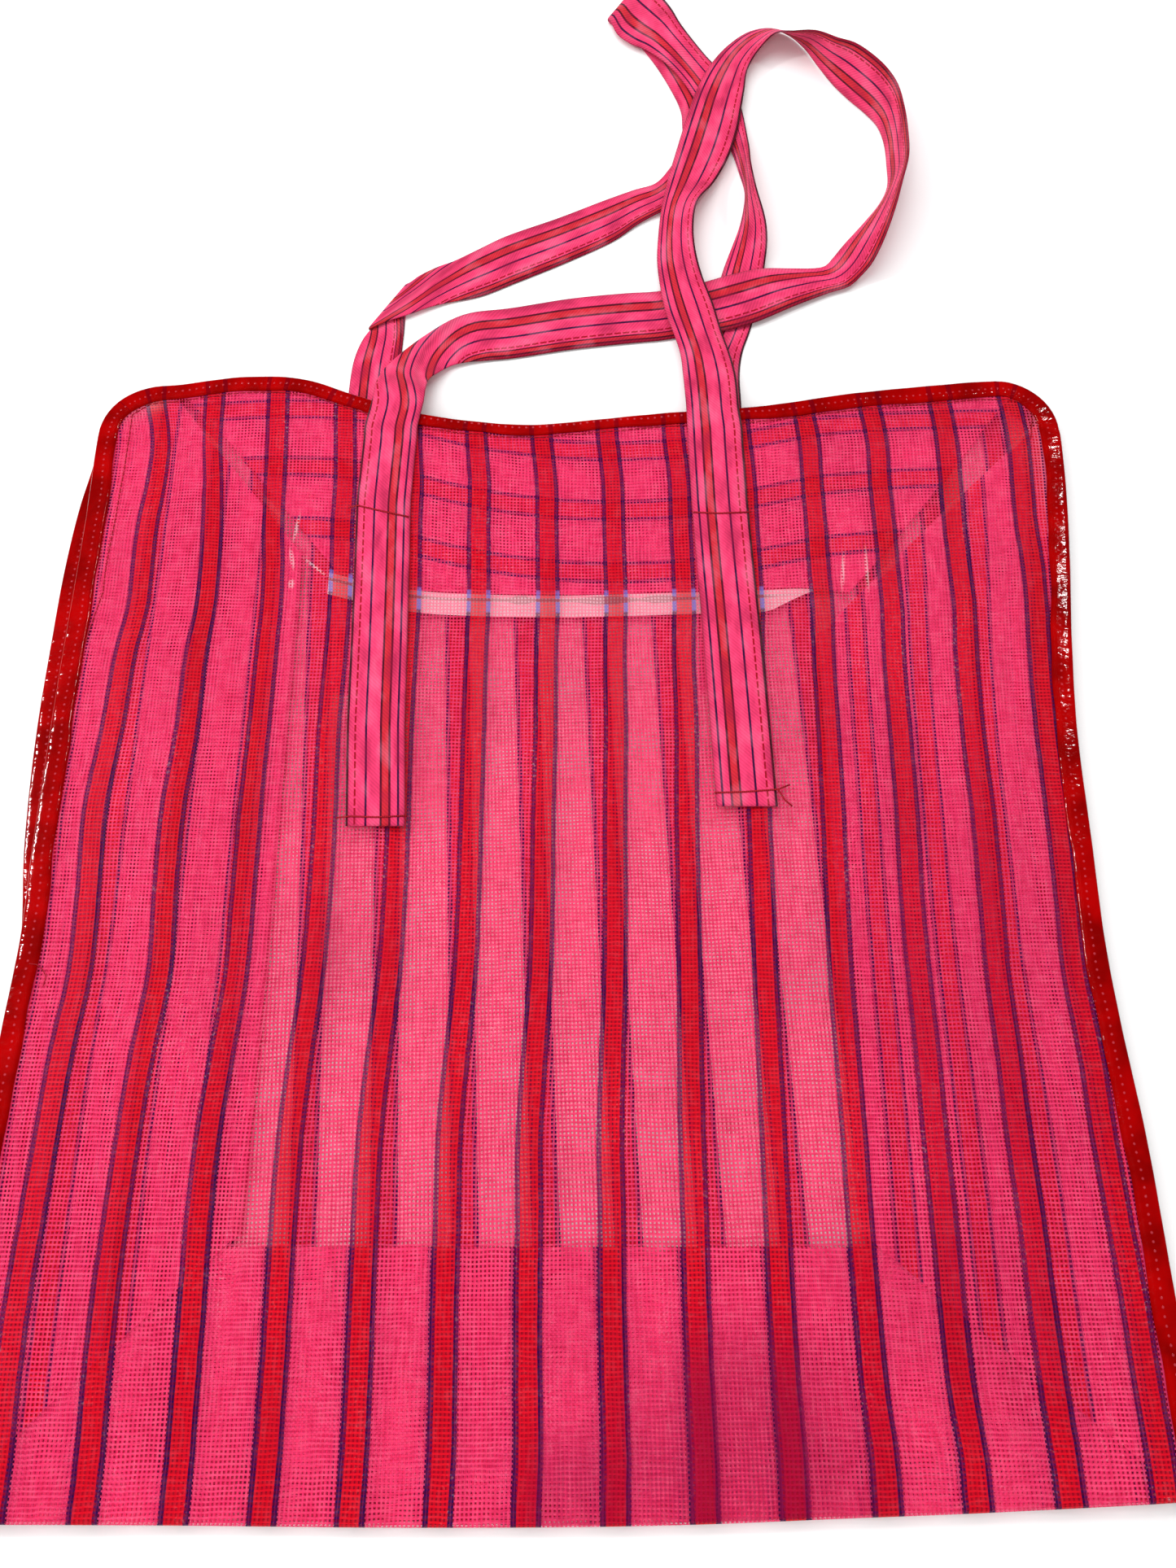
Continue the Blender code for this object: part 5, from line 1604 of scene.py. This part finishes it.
class MARKETBAG_OT_binding(bpy.types.Operator):
    """Builds the red vinyl binding of the front and of the back"""

    bl_idname = "market_bag.binding"
    bl_label = "Binding"

    def execute(self, context):
        sizes = context.scene.bag_sizes
        material = glossy_vinyl(sizes, context.scene.bag_colours)
        for face in ("front", "back"):
            build_binding(face, sizes, material)
        return {"FINISHED"}


class MARKETBAG_OT_straps(bpy.types.Operator):
    """Builds the two woven carrying straps"""

    bl_idname = "market_bag.straps"
    bl_label = "Straps"

    def execute(self, context):
        sizes = context.scene.bag_sizes
        material = striped_twill(sizes, context.scene.bag_colours)
        front = front_end(FRONT_LEFT_END) + list(FRONT_ROUTE) + front_end(FRONT_RIGHT_END)[::-1]
        straps = (
            ("front", front, FRONT_ROLL, ["front_base_and_back"]),
            ("back", BACK_ROUTE, BACK_ROLL, []),
        )
        for face, rows, roll, rests_on in straps:
            route = smooth_route(rows, STRAP_CELL)
            piece, long = strap_object("strap_" + face + "_band", route, roll, sizes, material)
            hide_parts("strap_" + face)
        return {"FINISHED"}


class MARKETBAG_OT_sewing(bpy.types.Operator):
    """Builds the stitches of the straps and of the edges"""

    bl_idname = "market_bag.sewing"
    bl_label = "Sewing"

    def execute(self, context):
        sizes = context.scene.bag_sizes
        material = sewing_thread(context.scene.bag_colours)
        stitch, wide = sizes.stitch_long / METRE, sizes.thread_wide / METRE
        left, right = EDGE_SEAM_LEFT[-1][0] + EDGE_SEAM_CORNER, EDGE_SEAM_RIGHT[0][0] - EDGE_SEAM_CORNER
        top_x = steps(left, right, CELL)
        top_y = mouth_y("front", top_x) - through(MOUTH_BINDING, 1, top_x) - EDGE_SEAM_IN
        path = [*EDGE_SEAM_LEFT, *zip(top_x, top_y), *EDGE_SEAM_RIGHT]
        edge = stitch_runs(path, lambda x, y: surface_z("front", x, y) + SEAM_RISE, stitch)
        cross = []
        for end, seams in ((FRONT_LEFT_END, LEFT_CROSS_SEAMS), (FRONT_RIGHT_END, RIGHT_CROSS_SEAMS)):
            for seam in seams:
                top = sewn_end_top(end, seam[0][1])
                cross.append([(x, y, top) for x, y in seam])
        loose = [(x, y, float(surface_z("front", x, y)) + LOOSE_THREAD_RISE) for x, y in LOOSE_THREAD]
        threads = (
            ("edge_seam_stitches", edge, wide, "red_vinyl"),
            ("strap_cross_seams", cross, CROSS_THREAD_WIDE, "strap_cloth"),
            ("loose_thread", [loose], wide * LOOSE_THREAD_SHARE, "red_vinyl"),
        )
        for name, runs, thick, slot in threads:
            thread_mesh(name, runs, thick, material)
        return {"FINISHED"}


class MARKETBAG_OT_stage(bpy.types.Operator):
    """Builds the floor, the lights and the camera"""

    bl_idname = "market_bag.stage"
    bl_label = "Stage"

    def execute(self, context):
        build_stage(context.scene.bag_colours)
        return {"FINISHED"}


def build_stage(colours):
    """A plain pale floor, soft lights and the camera at the viewing angle of the picture."""
    link = bpy.context.scene.collection.objects.link
    material, add = new_material("matt_floor")
    grain = add("TexNoise", {"Scale": 30.0, "Detail": 2.0})
    dull, bright = rgba(colours.floor_white, 0.98), rgba(colours.floor_white)
    base = add("Mix", {FACTOR: grain, FIRST: dull, SECOND: bright}, **COLOUR_MIX)
    finish_material(add, {"Base Color": base, "Roughness": 0.9})
    mesh = bpy.data.meshes.new("floor")
    corners = [(x * FLOOR_REACH, y * FLOOR_REACH, 0) for x, y in ((-1, -1), (1, -1), (1, 1), (-1, 1))]
    mesh.from_pydata(corners, [], [(0, 1, 2, 3)])
    mesh.materials.append(material)
    floor = bpy.data.objects.new("floor", mesh)
    link(floor)

    for name, place, size, power in LAMPS:
        light = bpy.data.lights.new(name, "AREA")
        light.shape = "SQUARE"
        light.size = size
        light.energy = power
        lamp = bpy.data.objects.new(name, light)
        lamp.location = place
        lamp.visible_glossy = size < GLINTING_LAMP_MOST
        lamp.rotation_euler = (-Vector(place)).to_track_quat("-Z", "Y").to_euler()
        link(lamp)

    world = bpy.data.worlds.new("studio")
    world.use_nodes = True
    background = world.node_tree.nodes["Background"]
    background.inputs["Color"].default_value = (1, 1, 1, 1)
    background.inputs["Strength"].default_value = WORLD_STRENGTH
    bpy.context.scene.world = world
    world.cycles_visibility.glossy = False
    bpy.context.scene.view_settings.view_transform = "Standard"

    lens = bpy.data.cameras.new("camera")
    lens.sensor_fit = "AUTO"
    lens.sensor_width = SENSOR_WIDE
    lens.lens = LENS_LONG
    lens.clip_start = 0.01
    camera = bpy.data.objects.new("camera", lens)
    camera.location = CAMERA_PLACE
    camera.rotation_euler = (math.radians(CAMERA_TILT), 0, 0)
    link(camera)
    bpy.context.scene.camera = camera


class MARKETBAG_PT_panel(bpy.types.Panel):
    """The bag's sizes and colours, and a button for each group of pieces"""

    bl_idname = "MARKETBAG_PT_panel"
    bl_label = "Market Bag"
    bl_space_type = "VIEW_3D"
    bl_region_type = "UI"
    bl_category = "Market Bag"

    def draw(self, context):
        layout = self.layout
        for group in (context.scene.bag_sizes, context.scene.bag_colours):
            column = layout.column()
            for name in group.__annotations__:
                column.prop(group, name)
        for operator in OPERATORS:
            layout.operator(operator.bl_idname)


OPERATORS = (
    MARKETBAG_OT_body,
    MARKETBAG_OT_inner,
    MARKETBAG_OT_binding,
    MARKETBAG_OT_straps,
    MARKETBAG_OT_sewing,
    MARKETBAG_OT_stage,
)
CLASSES = (BagSizes, BagColours, *OPERATORS, MARKETBAG_PT_panel)


def register():
    """Registers the classes and the two groups of properties."""
    for cls in CLASSES:
        bpy.utils.register_class(cls)
    bpy.types.Scene.bag_sizes = PointerProperty(type=BagSizes)
    bpy.types.Scene.bag_colours = PointerProperty(type=BagColours)


def unregister():
    """Removes the properties and the classes."""
    del bpy.types.Scene.bag_sizes
    del bpy.types.Scene.bag_colours
    for cls in reversed(CLASSES):
        bpy.utils.unregister_class(cls)


def main():
    """Builds every piece in order."""
    register()
    bpy.ops.market_bag.body()
    bpy.ops.market_bag.inner()
    bpy.ops.market_bag.binding()
    bpy.ops.market_bag.straps()
    bpy.ops.market_bag.sewing()
    bpy.ops.market_bag.stage()


if __name__ == "__main__":
    main()
